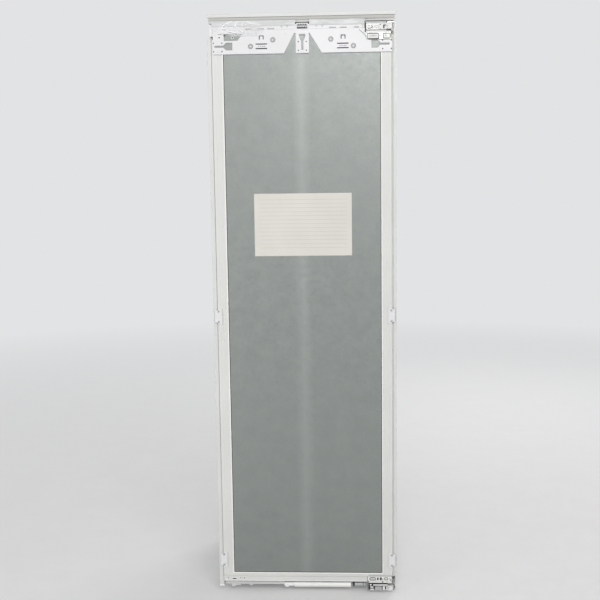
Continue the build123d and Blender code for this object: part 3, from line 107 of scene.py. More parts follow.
class Wiring:
    """Adds nodes to one shader tree and joins them."""

    def __init__(self, tree: bpy.types.NodeTree) -> None:
        """Start on a tree."""
        self.tree = tree

    def add(self, kind: str, **settings: object) -> bpy.types.Node:
        """Add a node.

        Args:
            kind: The node's type.
            **settings: Attributes of the node.

        Returns:
            The new node.
        """
        node = self.tree.nodes.new(kind)
        for label, value in settings.items():
            setattr(node, label, value)
        return node

    def join(self, source: bpy.types.NodeSocket, target: bpy.types.NodeSocket) -> None:
        """Join an output to an input."""
        self.tree.links.new(source, target)

    def value(self, node: bpy.types.Node, **values: object) -> bpy.types.Node:
        """Set named inputs of a node, or join an output to them.

        Args:
            node: The node.
            **values: Its inputs by name, with spaces written as underscores.

        Returns:
            The same node.
        """
        for label, value in values.items():
            socket = node.inputs[label.replace("_", " ")]
            if isinstance(value, bpy.types.NodeSocket):
                self.join(value, socket)
            else:
                socket.default_value = value
        return node

    def math(self, operation: str, first: object, second: object = 0.0) -> bpy.types.NodeSocket:
        """The result of one sum.

        Args:
            operation: The Math node's operation.
            first: A number or an output.
            second: A number or an output.

        Returns:
            The output that holds the result.
        """
        node = self.add("ShaderNodeMath", operation=operation)
        for place, value in enumerate((first, second)):
            if isinstance(value, bpy.types.NodeSocket):
                self.join(value, node.inputs[place])
            else:
                node.inputs[place].default_value = value
        return node.outputs[0]

    def remap(self, source: bpy.types.NodeSocket, low: float, high: float,
              to_low: object = 0.0, to_high: object = 1.0) -> bpy.types.NodeSocket:
        """A value stretched from one range to another and held inside it.

        Args:
            source: The value.
            low: The start of its range.
            high: The end of its range.
            to_low: The start of the new range.
            to_high: The end of the new range.

        Returns:
            The output that holds the new value.
        """
        node = self.add("ShaderNodeMapRange", clamp=True)
        self.value(node, Value=source, From_Min=low, From_Max=high, To_Min=to_low, To_Max=to_high)
        return node.outputs["Result"]

    def mix(self, share: object, base: object, other: object) -> bpy.types.NodeSocket:
        """Two colours mixed by a share.

        Args:
            share: How much of the other colour shows, as a number or an output.
            base: A colour or an output.
            other: A colour or an output.

        Returns:
            The output that holds the mixed colour.
        """
        node = self.add("ShaderNodeMix", data_type="RGBA")
        for place, value in ((0, share), (6, base), (7, other)):
            if isinstance(value, bpy.types.NodeSocket):
                self.join(value, node.inputs[place])
            else:
                node.inputs[place].default_value = value
        return node.outputs[2]

    def shown(self) -> bpy.types.NodeSocket:
        """1 where the camera, a reflection or clear plastic shows the surface, and 0 for its light."""
        path = self.add("ShaderNodeLightPath")
        seen = self.math("MAXIMUM", path.outputs["Is Camera Ray"], path.outputs["Is Glossy Ray"])
        return self.math("MAXIMUM", seen, path.outputs["Is Transmission Ray"])


class Effect(Enum):
    """Shader node groups that the finishes share."""

    TONE_DRIFT = "tone_drift"
    GLOSS_DRIFT = "gloss_drift"
    RELIEF = "relief"
    EDGE_WEAR = "edge_wear"
    DUST = "dust"
    SPECKLE = "speckle"

    def tree(self) -> bpy.types.NodeTree:
        """The group, built the first time that it is asked for."""
        found = bpy.data.node_groups.get(self.value)
        if found is not None:
            return found
        group = bpy.data.node_groups.new(self.value, "ShaderNodeTree")
        wires = Wiring(group)
        makers = {
            Effect.TONE_DRIFT: EffectMaker.tone_drift,
            Effect.GLOSS_DRIFT: EffectMaker.gloss_drift,
            Effect.RELIEF: EffectMaker.relief,
            Effect.EDGE_WEAR: EffectMaker.edge_wear,
            Effect.DUST: EffectMaker.dust,
            Effect.SPECKLE: EffectMaker.speckle,
        }
        makers[self](EffectMaker(wires))
        return group


class EffectMaker:
    """Builds the inside of one shared group."""

    def __init__(self, wires: Wiring) -> None:
        """Start inside an empty group."""
        self.wires = wires

    def sockets(self, inputs: dict[str, str],
                output: tuple[str, str]) -> tuple[bpy.types.Node, bpy.types.Node]:
        """Give the group its named inputs and its one output.

        Args:
            inputs: Each input's name and its kind.
            output: The output's name and its kind.

        Returns:
            The node that holds the inputs and the node that takes the output.
        """
        face = self.wires.tree.interface
        for label, kind in inputs.items():
            face.new_socket(label, in_out="INPUT", socket_type="NodeSocket" + kind)
        face.new_socket(output[0], in_out="OUTPUT", socket_type="NodeSocket" + output[1])
        return self.wires.add("NodeGroupInput"), self.wires.add("NodeGroupOutput")

    def noise(self, vector: object, scale: object, detail: float = 3.0) -> bpy.types.NodeSocket:
        """Noise from about 0.3 to 0.7 over a vector.

        Args:
            vector: The output that holds the place.
            scale: Waves per metre.
            detail: How many finer layers are added.

        Returns:
            The output that holds the noise.
        """
        node = self.wires.add("ShaderNodeTexNoise")
        self.wires.value(node, Vector=vector, Scale=scale, Detail=detail)
        return node.outputs[0]

    def tone_drift(self) -> None:
        """A base colour that drifts a little towards a shade."""
        inlet, outlet = self.sockets({"Vector": "Vector", "Scale": "Float", "Amount": "Float",
                                      "Base": "Color", "Shade": "Color"}, ("Color", "Color"))
        wave = self.noise(inlet.outputs["Vector"], inlet.outputs["Scale"])
        share = self.wires.remap(wave, 0.35, 0.65, 0.0, inlet.outputs["Amount"])
        mixed = self.wires.mix(share, inlet.outputs["Base"], inlet.outputs["Shade"])
        self.wires.join(mixed, outlet.inputs[0])

    def gloss_drift(self) -> None:
        """Roughness that wanders between two values."""
        inlet, outlet = self.sockets({"Vector": "Vector", "Scale": "Float", "Low": "Float", "High": "Float"},
                                     ("Roughness", "Float"))
        wave = self.noise(inlet.outputs["Vector"], inlet.outputs["Scale"], 4.0)
        result = self.wires.remap(wave, 0.3, 0.7, inlet.outputs["Low"], inlet.outputs["High"])
        self.wires.join(result, outlet.inputs[0])

    def relief(self) -> None:
        """Height of a fine grain, stretched along an axis for brushed metal."""
        inlet, outlet = self.sockets({"Vector": "Vector", "Stretch": "Vector", "Scale": "Float"},
                                     ("Height", "Float"))
        drawn = self.wires.add("ShaderNodeVectorMath", operation="MULTIPLY")
        self.wires.join(inlet.outputs["Vector"], drawn.inputs[0])
        self.wires.join(inlet.outputs["Stretch"], drawn.inputs[1])
        coarse = self.noise(drawn.outputs[0], inlet.outputs["Scale"], 2.0)
        finer = self.wires.math("MULTIPLY", inlet.outputs["Scale"], 3.0)
        fine = self.noise(drawn.outputs[0], finer, 1.0)
        height = self.wires.math("ADD", coarse, self.wires.math("MULTIPLY", fine, 0.4))
        self.wires.join(height, outlet.inputs[0])

    def edge_wear(self) -> None:
        """A mask that rises along sharp edges, broken up by noise."""
        inlet, outlet = self.sockets({"Vector": "Vector", "Radius": "Float", "Amount": "Float"},
                                     ("Mask", "Float"))
        bevel = self.wires.add("ShaderNodeBevel", samples=4)
        rounded = self.wires.value(bevel, Radius=inlet.outputs["Radius"])
        flat = self.wires.add("ShaderNodeNewGeometry")
        turn = self.wires.add("ShaderNodeVectorMath", operation="DOT_PRODUCT")
        self.wires.join(rounded.outputs[0], turn.inputs[0])
        self.wires.join(flat.outputs["Normal"], turn.inputs[1])
        edge = self.wires.remap(turn.outputs["Value"], 0.97, 0.75)
        patch = self.wires.remap(self.noise(inlet.outputs["Vector"], 160.0), 0.42, 0.62)
        mask = self.wires.math("MULTIPLY", self.wires.math("MULTIPLY", edge, patch), inlet.outputs["Amount"])
        self.wires.join(mask, outlet.inputs[0])

    def dust(self) -> None:
        """A mask of settled dust on faces that look up."""
        inlet, outlet = self.sockets({"Vector": "Vector", "Amount": "Float"}, ("Mask", "Float"))
        flat = self.wires.add("ShaderNodeNewGeometry")
        parts = self.wires.add("ShaderNodeSeparateXYZ")
        self.wires.join(flat.outputs["Normal"], parts.inputs[0])
        lying = self.wires.remap(parts.outputs["Z"], 0.3, 0.95, 0.15, 1.0)
        patch = self.wires.remap(self.noise(inlet.outputs["Vector"], 45.0, 5.0), 0.38, 0.7)
        settled = self.wires.math("MULTIPLY", lying, patch)
        mask = self.wires.math("MULTIPLY", settled, inlet.outputs["Amount"])
        self.wires.join(mask, outlet.inputs[0])

    def speckle(self) -> None:
        """A mask of fine specks, as in a coated sheet or in paper pulp."""
        inlet, outlet = self.sockets({"Vector": "Vector", "Scale": "Float", "Amount": "Float"},
                                     ("Mask", "Float"))
        fine = self.noise(inlet.outputs["Vector"], inlet.outputs["Scale"], 1.0)
        result = self.wires.remap(fine, 0.4, 0.62, 0.0, inlet.outputs["Amount"])
        self.wires.join(result, outlet.inputs[0])


class Grain(Enum):
    """How a surface's fine relief is stretched along X, Y and Z."""

    EVEN = (1.0, 1.0, 1.0)
    ALONG_X = (0.03, 1.0, 1.0)


@dataclass(frozen=True)
class Finish:
    """One finish of the refrigerator, from its colour to its grain and wear."""

    name: str
    slot: str
    colour: Colour
    shade: Colour
    roughness: float = 0.45
    gloss_spread: float = 0.08
    metallic: float = 0.0
    coat: float = 0.0
    drift_scale: float = 7.0
    drift: float = 0.6
    grain: Grain = Grain.EVEN
    grain_scale: float = 900.0
    grain_depth: float = 0.00004
    wear: float = 0.0
    wear_colour: Colour = (0.5, 0.5, 0.5, 1.0)
    wear_radius: float = 0.0012
    dust: float = 0.0
    dust_colour: Colour = (0.45, 0.43, 0.4, 1.0)

    def material(self) -> bpy.types.Material:
        """The Blender material of this finish, built the first time that it is asked for."""
        found = bpy.data.materials.get(self.name)
        if found is not None:
            return found
        material = bpy.data.materials.new(self.name)
        material.use_nodes = True
        material.diffuse_color = self.colour
        wires = Wiring(material.node_tree)
        shader = material.node_tree.nodes["Principled BSDF"]
        place = wires.add("ShaderNodeTexCoord").outputs["Object"]
        wires.join(self.colour_output(wires, place), shader.inputs["Base Color"])
        self.shine(wires, place, shader)
        self.roughen(wires, place, shader)
        return material

    def effect(self, wires: Wiring, effect: Effect, **values: object) -> bpy.types.NodeSocket:
        """Place a shared group with its own values.

        Args:
            wires: The material's tree.
            effect: Which group.
            **values: The group's inputs by name.

        Returns:
            The group's output.
        """
        node = wires.add("ShaderNodeGroup", node_tree=effect.tree())
        wires.value(node, **values)
        return node.outputs[0]

    def colour_output(self, wires: Wiring, place: bpy.types.NodeSocket) -> bpy.types.NodeSocket:
        """The colour with its drift, wear and dust.

        Args:
            wires: The material's tree.
            place: The point in the piece's own coordinates.

        Returns:
            The output that holds the colour.
        """
        colour = self.effect(wires, Effect.TONE_DRIFT, Vector=place, Scale=self.drift_scale,
                             Amount=self.drift, Base=self.colour, Shade=self.shade)
        if self.wear > 0:
            mask = self.effect(wires, Effect.EDGE_WEAR, Vector=place, Radius=self.wear_radius,
                               Amount=self.wear)
            colour = wires.mix(mask, colour, self.wear_colour)
        if self.dust > 0:
            mask = self.effect(wires, Effect.DUST, Vector=place, Amount=self.dust)
            colour = wires.mix(mask, colour, self.dust_colour)
        return colour

    def shine(self, wires: Wiring, place: bpy.types.NodeSocket, shader: bpy.types.Node) -> None:
        """Set how the finish reflects.

        Args:
            wires: The material's tree.
            place: The point in the piece's own coordinates.
            shader: The material's shader.
        """
        shader.inputs["Metallic"].default_value = self.metallic
        shader.inputs["Coat Weight"].default_value = self.coat
        gloss = self.effect(wires, Effect.GLOSS_DRIFT, Vector=place, Scale=self.drift_scale * 4,
                            Low=self.roughness - self.gloss_spread, High=self.roughness + self.gloss_spread)
        wires.join(gloss, shader.inputs["Roughness"])

    def roughen(self, wires: Wiring, place: bpy.types.NodeSocket, shader: bpy.types.Node) -> None:
        """Give the finish its fine relief.

        Args:
            wires: The material's tree.
            place: The point in the piece's own coordinates.
            shader: The material's shader.
        """
        height = self.effect(wires, Effect.RELIEF, Vector=place, Stretch=self.grain.value,
                             Scale=self.grain_scale)
        bump = wires.value(wires.add("ShaderNodeBump"), Height=height, Distance=self.grain_depth)
        wires.join(bump.outputs["Normal"], shader.inputs["Normal"])


@dataclass(frozen=True)
class SheetFinish(Finish):
    """A coated metal sheet with fine specks and a painted sheen: a pale upright band down its middle that
    stands for a reflection.
    """

    sheen_middle: float = -0.002
    sheen_half: float = 0.028
    sheen_share: float = 0.35
    sheen_colour: Colour = (0.6, 0.6, 0.6, 1.0)

    def colour_output(self, wires: Wiring, place: bpy.types.NodeSocket) -> bpy.types.NodeSocket:
        """The coated colour with its specks and its pale band of painted sheen."""
        colour = super().colour_output(wires, place)
        specks = self.effect(wires, Effect.SPECKLE, Vector=place, Scale=420.0, Amount=0.35)
        colour = wires.mix(specks, colour, self.shade)
        # Painted sheen: the colour turns paler towards an upright line near the sheet's middle.
        parts = wires.add("ShaderNodeSeparateXYZ")
        wires.join(place, parts.inputs[0])
        away = wires.math("ABSOLUTE", wires.math("SUBTRACT", parts.outputs["X"], self.sheen_middle))
        band = wires.remap(away, self.sheen_half, 0.0, 0.0, self.sheen_share)
        return wires.mix(band, colour, self.sheen_colour)


@dataclass(frozen=True)
class ClearFinish(Finish):
    """Glass or clear plastic, which keeps a plain transmission."""

    transmission: float = 0.95
    index: float = 1.46

    def shine(self, wires: Wiring, place: bpy.types.NodeSocket, shader: bpy.types.Node) -> None:
        """Let light through the finish."""
        super().shine(wires, place, shader)
        shader.inputs["Transmission Weight"].default_value = self.transmission
        shader.inputs["IOR"].default_value = self.index


@dataclass(frozen=True)
class FilmFinish(Finish):
    """Thin clear film whose creases catch the light."""

    cover_low: float = 0.05
    cover_high: float = 0.55

    def shine(self, wires: Wiring, place: bpy.types.NodeSocket, shader: bpy.types.Node) -> None:
        """Let most of what is behind the film show between its creases."""
        super().shine(wires, place, shader)
        crease = self.effect(wires, Effect.RELIEF, Vector=place, Stretch=(0.35, 1.0, 1.0), Scale=30.0)
        wires.join(wires.remap(crease, 0.62, 0.86, self.cover_low, self.cover_high), shader.inputs["Alpha"])


@dataclass(frozen=True)
class FloorFinish(Finish):
    """The studio floor, which fades into the backdrop where only the camera sees it."""

    fade_near: float = 1.0
    fade_far: float = 5.5
    fade_colour: Colour = (0.75, 0.76, 0.77, 1.0)
    near_share: float = 0.25

    def material(self) -> bpy.types.Material:
        """The floor's material with its fade."""
        material = super().material()
        wires = Wiring(material.node_tree)
        place = wires.add("ShaderNodeTexCoord").outputs["Object"]
        away = wires.add("ShaderNodeVectorMath", operation="LENGTH")
        wires.join(place, away.inputs[0])
        share = wires.remap(away.outputs["Value"], self.fade_near, self.fade_far, self.near_share, 1.0)
        glow = wires.value(wires.add("ShaderNodeEmission"), Color=self.fade_colour)
        blend = wires.add("ShaderNodeMixShader")
        wires.join(wires.math("MULTIPLY", share, wires.shown()), blend.inputs[0])
        wires.join(material.node_tree.nodes["Principled BSDF"].outputs[0], blend.inputs[1])
        wires.join(glow.outputs[0], blend.inputs[2])
        wires.join(blend.outputs[0], material.node_tree.nodes["Material Output"].inputs[0])
        return material


@dataclass(frozen=True)
class CardFinish(Finish):
    """Blank card with faint ruled lines inside a margin."""

    rule_pitch: float = 0.012
    rule_width: float = 0.0011
    rule_colour: Colour = (0.42, 0.42, 0.43, 1.0)
    margin: float = 0.014
    low: Span = (0.0, 0.0)
    high: Span = (1.0, 1.0)

    def colour_output(self, wires: Wiring, place: bpy.types.NodeSocket) -> bpy.types.NodeSocket:
        """Paper with its ruled lines."""
        colour = super().colour_output(wires, place)
        parts = wires.add("ShaderNodeSeparateXYZ")
        wires.join(place, parts.inputs[0])
        step = wires.math("MODULO", wires.math("SUBTRACT", parts.outputs["Z"], self.low[1]), self.rule_pitch)
        line = wires.math("LESS_THAN", step, self.rule_width)
        inside = line
        for axis, low, high in (("X", self.low[0], self.high[0]), ("Z", self.low[1], self.high[1])):
            above = wires.math("GREATER_THAN", parts.outputs[axis], low + self.margin)
            below = wires.math("LESS_THAN", parts.outputs[axis], high - self.margin)
            inside = wires.math("MULTIPLY", inside, wires.math("MULTIPLY", above, below))
        return wires.mix(wires.math("MULTIPLY", inside, 0.7), colour, self.rule_colour)


@dataclass(frozen=True)
class LightFinish(Finish):
    """A light strip's milky cover."""

    strength: float = 0.6

    def shine(self, wires: Wiring, place: bpy.types.NodeSocket, shader: bpy.types.Node) -> None:
        """Let the cover glow a little."""
        super().shine(wires, place, shader)
        shader.inputs["Emission Color"].default_value = self.colour
        shader.inputs["Emission Strength"].default_value = self.strength


WHITE_FRAME = Finish("frame_white", "white_plastic", tone(211, 211, 208), tone(205, 205, 202), 0.38,
                     dust=0.08)
WHITE_TRIM = Finish("trim_white", "white_plastic", tone(208, 208, 206), tone(201, 201, 198), 0.36, dust=0.1)
WHITE_ENAMEL = Finish("plate_enamel", "white_enamel", tone(217, 216, 217), tone(211, 210, 211), 0.34,
                      coat=0.2, wear=0.25, wear_colour=tone(190, 190, 188), grain_scale=500.0)
INNER_WHITE = Finish("inner_white", "white_plastic", tone(234, 236, 236), tone(228, 230, 231), 0.3)
LINER_WHITE = Finish("liner_gloss", "liner_plastic", tone(238, 240, 240), tone(232, 235, 236), 0.2,
                     coat=0.3, grain_scale=300.0, grain_depth=0.00006)
CASE_COAT = Finish("case_coat", "case_steel", tone(206, 209, 207), tone(196, 199, 198), 0.42,
                   metallic=0.15, wear=0.3, wear_colour=tone(150, 152, 152), dust=0.2, grain_scale=650.0)
BASE_COAT = Finish("base_coat", "base_steel", tone(184, 187, 186), tone(168, 171, 171), 0.4, metallic=0.5,
                   wear=0.3, wear_colour=tone(120, 122, 122), dust=0.35)
# The skin's pale upright band is painted sheen.
SKIN_COAT = SheetFinish("skin_coat", "case_steel", tone(147, 151, 148), tone(134, 138, 136), 0.42,
                        metallic=0.75, drift_scale=22.0, drift=0.35, grain_scale=700.0, grain_depth=0.00006,
                        sheen_colour=tone(172, 175, 172))
HINGE_STEEL = Finish("hinge_nickel", "hinge_steel", tone(196, 197, 194), tone(160, 162, 158), 0.28,
                     metallic=0.95, grain=Grain.ALONG_X, grain_scale=1400.0, wear=0.35,
                     wear_colour=tone(226, 226, 222), wear_radius=0.0006)
ARM_STEEL = Finish("arm_zinc", "hinge_steel", tone(186, 187, 184), tone(140, 142, 140), 0.34, metallic=0.9,
                   grain_scale=800.0, wear=0.3, wear_colour=tone(215, 215, 210))
SCREW_STEEL = Finish("screw_zinc", "screw_steel", tone(205, 204, 200), tone(170, 170, 166), 0.3,
                     metallic=0.9, wear=0.4, wear_colour=tone(120, 120, 118), wear_radius=0.0004)
# Painted shade: a near-black for the shade in holes, slots, notches and gaps.
DARK_PAINTED_SHADE = Finish("painted_dark_shade", "black_plastic", tone(38, 38, 38), tone(28, 28, 28), 0.8)
# A grey for print, and for painted shade along edges, in gaps and on pressed rings.
PRINT_AND_SHADE_GREY = Finish("grey_print_and_painted_shade", "white_enamel", tone(116, 117, 119), tone(104, 105, 108), 0.6)
# A paler grey for painted shade along pressed edges, folds and creases, and for small marks.
SHADE_AND_MARK_GREY = Finish("grey_painted_shade_and_marks", "white_enamel", tone(158, 159, 159), tone(146, 147, 147), 0.5)
BLACK_PLASTIC = Finish("black_moulding", "black_plastic", tone(42, 42, 44), tone(34, 34, 36), 0.55,
                       dust=0.15)
DARK_BLOCK = Finish("adjuster_black", "dark_adjuster", tone(64, 64, 66), tone(46, 46, 48), 0.55)
COMPRESSOR_PAINT = Finish("compressor_paint", "compressor_black", tone(44, 44, 45), tone(32, 32, 33), 0.36,
                          grain_scale=260.0, grain_depth=0.00012, wear=0.35,
                          wear_colour=tone(112, 110, 108), dust=0.4)
CONDENSER_PAINT = Finish("condenser_paint", "condenser_black", tone(46, 47, 48), tone(36, 36, 37), 0.4,
                         dust=0.35)
RUBBER = Finish("foot_rubber", "rubber", tone(48, 48, 48), tone(38, 38, 38), 0.7, grain_scale=500.0,
                grain_depth=0.0001, dust=0.4)
SEAL = Finish("seal_rubber", "seal_white", tone(222, 222, 218), tone(212, 212, 207), 0.55, grain_scale=450.0)
COPPER = Finish("copper_tube", "copper", tone(198, 132, 98), tone(150, 96, 70), 0.3, metallic=0.95,
                grain_scale=300.0, wear=0.0)
FIN_METAL = Finish("fin_aluminium", "coil_aluminium", tone(205, 207, 208), tone(182, 185, 187), 0.35,
                   metallic=0.9)
FAN_GREY = Finish("fan_moulding", "fan_grey", tone(150, 153, 155), tone(136, 139, 141), 0.45)
BUTTON_GREY = Finish("button_moulding", "button_grey", tone(190, 192, 194), tone(178, 180, 183), 0.4)
FOAM = Finish("cured_foam", "foam", tone(236, 222, 178), tone(220, 200, 150), 0.85, drift_scale=24.0,
              grain_scale=420.0, grain_depth=0.0006)
CARTON = Finish("tank_board", "case_steel", tone(214, 214, 211), tone(200, 200, 197), 0.5, metallic=0.2,
                dust=0.25, grain_scale=240.0, grain_depth=0.0001)
GLASS = ClearFinish("shelf_clear", "shelf_glass", tone(226, 240, 236), tone(220, 236, 231), 0.03,
                    gloss_spread=0.02, index=1.5, grain_depth=0.000005)
CLEAR_PLASTIC = ClearFinish("drawer_clear", "clear_plastic", tone(246, 250, 252), tone(241, 247, 250), 0.05,
                            gloss_spread=0.03, transmission=0.92, index=1.4, grain_depth=0.00001)
FILM = FilmFinish("transport_film", "clear_plastic", tone(240, 241, 241), tone(226, 228, 228), 0.14,
                  gloss_spread=0.05, grain_scale=60.0, grain_depth=0.0003, cover_low=0.02, cover_high=0.3)
# Painted highlight: a near-white for the light on the film's creases.
CREASE_HIGHLIGHT = Finish("film_crease_highlight", "clear_plastic", tone(248, 248, 248), tone(242, 242, 242), 0.2, coat=0.3)
ROD_GREY = Finish("rod_moulding", "hinge_steel", tone(186, 188, 188), tone(170, 172, 173), 0.4, metallic=0.2)
# Painted light: a paler copy of the white plastic, for painted highlights on beads, rims and edges and for
# parts made paler where less light reaches them.
PAINTED_LIGHT_WHITE = Finish("painted_light_white", "white_plastic", tone(237, 237, 234), tone(232, 232, 229), 0.3)
# Painted shade: a grey for the shadow in recesses and grooves.
RECESS_SHADE = Finish("painted_recess_shade", "white_plastic", tone(182, 181, 177), tone(174, 173, 168), 0.5)
# Painted highlight: paler copies of the hinge's steel for its raised bars, rims, pads and latches.
HINGE_HIGHLIGHT_PALE = Finish("hinge_painted_highlight_pale", "hinge_steel", tone(206, 207, 204), tone(184, 185, 182), 0.38,
                    metallic=0.3, grain=Grain.ALONG_X, grain_scale=1400.0, wear=0.2,
                    wear_colour=tone(222, 222, 220), wear_radius=0.0006)
HINGE_HIGHLIGHT_BRIGHT = Finish("hinge_painted_highlight_bright", "hinge_steel", tone(224, 225, 222), tone(208, 209, 206), 0.36,
                      grain=Grain.ALONG_X, grain_scale=1400.0, wear=0.15, wear_colour=tone(232, 232, 230),
                      wear_radius=0.0006)
BAND_FILM = FilmFinish("trim_film", "clear_plastic", tone(224, 225, 224), tone(204, 205, 204), 0.3,
                       gloss_spread=0.05, grain=Grain.ALONG_X, grain_scale=240.0, grain_depth=0.0009,
                       cover_low=0.7, cover_high=0.95)
LIGHT_COVER = LightFinish("light_cover", "light_white", tone(246, 248, 252), tone(236, 240, 246), 0.3)

SLOT_FINISHES = {finish.slot: finish for finish in (
    CARTON, CASE_COAT, FOAM, LINER_WHITE, INNER_WHITE, CLEAR_PLASTIC, GLASS, BASE_COAT, COMPRESSOR_PAINT,
    CONDENSER_PAINT, RUBBER, SEAL, BLACK_PLASTIC, FAN_GREY, COPPER, FIN_METAL, LIGHT_COVER, BUTTON_GREY,
    WHITE_ENAMEL, ARM_STEEL, SCREW_STEEL, DARK_BLOCK)}


class Bench:
    """Blender's modelling operators, used on one piece at a time."""

    ROUND_SIDES = 40

    def clear(self) -> None:
        """Leave edit mode and select nothing."""
        if bpy.context.object is not None and bpy.context.object.mode != "OBJECT":
            bpy.ops.object.mode_set(mode="OBJECT")
        bpy.ops.object.select_all(action="DESELECT")

    def hold(self, piece: Piece) -> None:
        """Make one piece the only selected one and the active one."""
        self.clear()
        piece.select_set(True)
        bpy.context.view_layer.objects.active = piece

    def settle(self, piece: Piece) -> Piece:
        """Move a piece's place, turn and size into its mesh."""
        self.hold(piece)
        bpy.ops.object.transform_apply(location=True, rotation=True, scale=True)
        return piece

    def block(self, name: str, low: Sequence[float], high: Sequence[float]) -> Piece:
        """A block between two corners.

        Args:
            name: The piece's name.
            low: Its lowest corner, in mm.
            high: Its highest corner, in mm.

        Returns:
            The piece.
        """
        self.clear()
        low, high = Vector(low) * MM, Vector(high) * MM
        bpy.ops.mesh.primitive_cube_add(size=1, location=(low + high) / 2)
        piece = bpy.context.object
        piece.name = name
        piece.scale = high - low
        return self.settle(piece)

    def drum(self, name: str, start: Sequence[float], end: Sequence[float], radius: float,
             sides: int = ROUND_SIDES) -> Piece:
        """A round bar between two points.

        Args:
            name: The piece's name.
            start: The middle of one end, in mm.
            end: The middle of the other end, in mm.
            radius: The bar's radius in mm.
            sides: How many flat sides it has.

        Returns:
            The piece.
        """
        self.clear()
        start, end = Vector(start) * MM, Vector(end) * MM
        way = end - start
        turn = way.to_track_quat("Z", "Y").to_euler()
        bpy.ops.mesh.primitive_cylinder_add(vertices=sides, radius=radius * MM, depth=way.length,
                                            location=(start + end) / 2, rotation=turn)
        piece = bpy.context.object
        piece.name = name
        return self.settle(piece)

    def ring(self, name: str, middle: Sequence[float], radius: float, tube: float) -> Piece:
        """A round ring that faces the front.

        Args:
            name: The piece's name.
            middle: The ring's middle, in mm.
            radius: The radius of its centre line, in mm.
            tube: The radius of its section, in mm.

        Returns:
            The piece.
        """
        self.clear()
        bpy.ops.mesh.primitive_torus_add(location=Vector(middle) * MM, rotation=(math.radians(90), 0, 0),
                                         major_radius=radius * MM, minor_radius=tube * MM,
                                         major_segments=32, minor_segments=10)
        piece = bpy.context.object
        piece.name = name
        return self.settle(piece)

    def round_corners(self, piece: Piece, radius: float) -> Piece:
        """Round the straight edges of a piece that run from its front to its back.

        Args:
            piece: The piece.
            radius: The radius in mm.

        Returns:
            The same piece.
        """
        self.hold(piece)
        bpy.ops.object.mode_set(mode="EDIT")
        bpy.ops.mesh.select_mode(type="EDGE")
        bpy.ops.mesh.select_all(action="DESELECT")
        bpy.ops.object.mode_set(mode="OBJECT")
        for edge in piece.data.edges:
            start, end = (piece.data.vertices[place].co for place in edge.vertices)
            edge.select = abs((end - start).normalized().y) > 0.99
        bpy.ops.object.mode_set(mode="EDIT")
        bpy.ops.mesh.bevel(offset=radius * MM, segments=5, affect="EDGES")
        bpy.ops.object.mode_set(mode="OBJECT")
        return piece

    def plate(self, name: str, low: Sequence[float], high: Sequence[float], corner: float) -> Piece:
        """A block whose corners are round, seen from the front.

        Args:
            name: The piece's name.
            low: Its lowest corner, in mm.
            high: Its highest corner, in mm.
            corner: The radius of its corners, in mm.

        Returns:
            The piece.
        """
        return self.round_corners(self.block(name, low, high), corner)

    def frame(self, name: str, low: Sequence[float], high: Sequence[float], border: float,
              corner: float) -> Piece:
        """A flat frame round an opening that faces the front.

        Args:
            name: The piece's name.
            low: Its lowest outer corner, in mm.
            high: Its highest outer corner, in mm.
            border: The width of its border, in mm.
            corner: The radius of its outer corners, in mm.

        Returns:
            The piece.
        """
        low, high = Vector(low), Vector(high)
        over = Vector((-border, 5, -border))
        outer = self.plate(name, low, high, corner)
        inner = self.plate("opening", low - over, high + over, max(corner - border, 0.3))
        return self.cut(outer, inner)

    def wire(self, name: str, points: Sequence[Sequence[float]], radius: float,
             closed: bool = True) -> Piece:
        """A thin round wire along straight runs.

        Args:
            name: The piece's name.
            points: The corners in mm.
            radius: The wire's radius in mm.
            closed: Whether the last corner is joined to the first.

        Returns:
            The piece.
        """
        stops = [Vector(point) for point in points]
        ends = stops[1:] + stops[:1] if closed else stops[1:]
        runs = [self.drum("run", start, end, radius, 8) for start, end in zip(stops, ends)]
        return self.smooth(self.merge(name, runs), 50)

    def pick(self, piece: Piece, test: Test) -> int:
        """Enter edit mode with the faces selected that pass a test.

        Args:
            piece: The piece.
            test: Says yes or no to a face's middle and its normal.

        Returns:
            How many faces were picked.
        """
        self.hold(piece)
        bpy.ops.object.mode_set(mode="EDIT")
        bpy.ops.mesh.select_mode(type="FACE")
        bpy.ops.mesh.select_all(action="DESELECT")
        bpy.ops.object.mode_set(mode="OBJECT")
        count = 0
        for face in piece.data.polygons:
            face.select = test(face.center, face.normal)
            count += face.select
        bpy.ops.object.mode_set(mode="EDIT")
        return count

    def extrude(self, piece: Piece, test: Test, way: Sequence[float]) -> Piece:
        """Pull faces out of a piece.

        Args:
            piece: The piece.
            test: Picks the faces.
            way: How far and which way they go, in mm.

        Returns:
            The same piece.
        """
        if self.pick(piece, test):
            bpy.ops.mesh.extrude_region_move(TRANSFORM_OT_translate={"value": Vector(way) * MM})
        bpy.ops.object.mode_set(mode="OBJECT")
        return piece

    def squeeze(self, piece: Piece, test: Test, scale: Sequence[float], middle: Sequence[float]) -> Piece:
        """Scale faces about a point.

        Args:
            piece: The piece.
            test: Picks the faces.
            scale: The three factors.
            middle: The fixed point, in mm.

        Returns:
            The same piece.
        """
        if self.pick(piece, test):
            bpy.ops.transform.resize(value=Vector(scale), center_override=Vector(middle) * MM)
        bpy.ops.object.mode_set(mode="OBJECT")
        return piece

    def slice(self, piece: Piece, places: Sequence[float], axis: int) -> Piece:
        """Cut a piece's faces at places along an axis, keeping both sides.

        Args:
            piece: The piece.
            places: Where the cuts are, in mm.
            axis: 0 for X, 1 for Y or 2 for Z.

        Returns:
            The same piece.
        """
        normal = Vector((0, 0, 0))
        normal[axis] = 1
        for place in places:
            self.hold(piece)
            bpy.ops.object.mode_set(mode="EDIT")
            bpy.ops.mesh.select_all(action="SELECT")
            bpy.ops.mesh.bisect(plane_co=normal * place * MM, plane_no=normal)
            bpy.ops.object.mode_set(mode="OBJECT")
        return piece

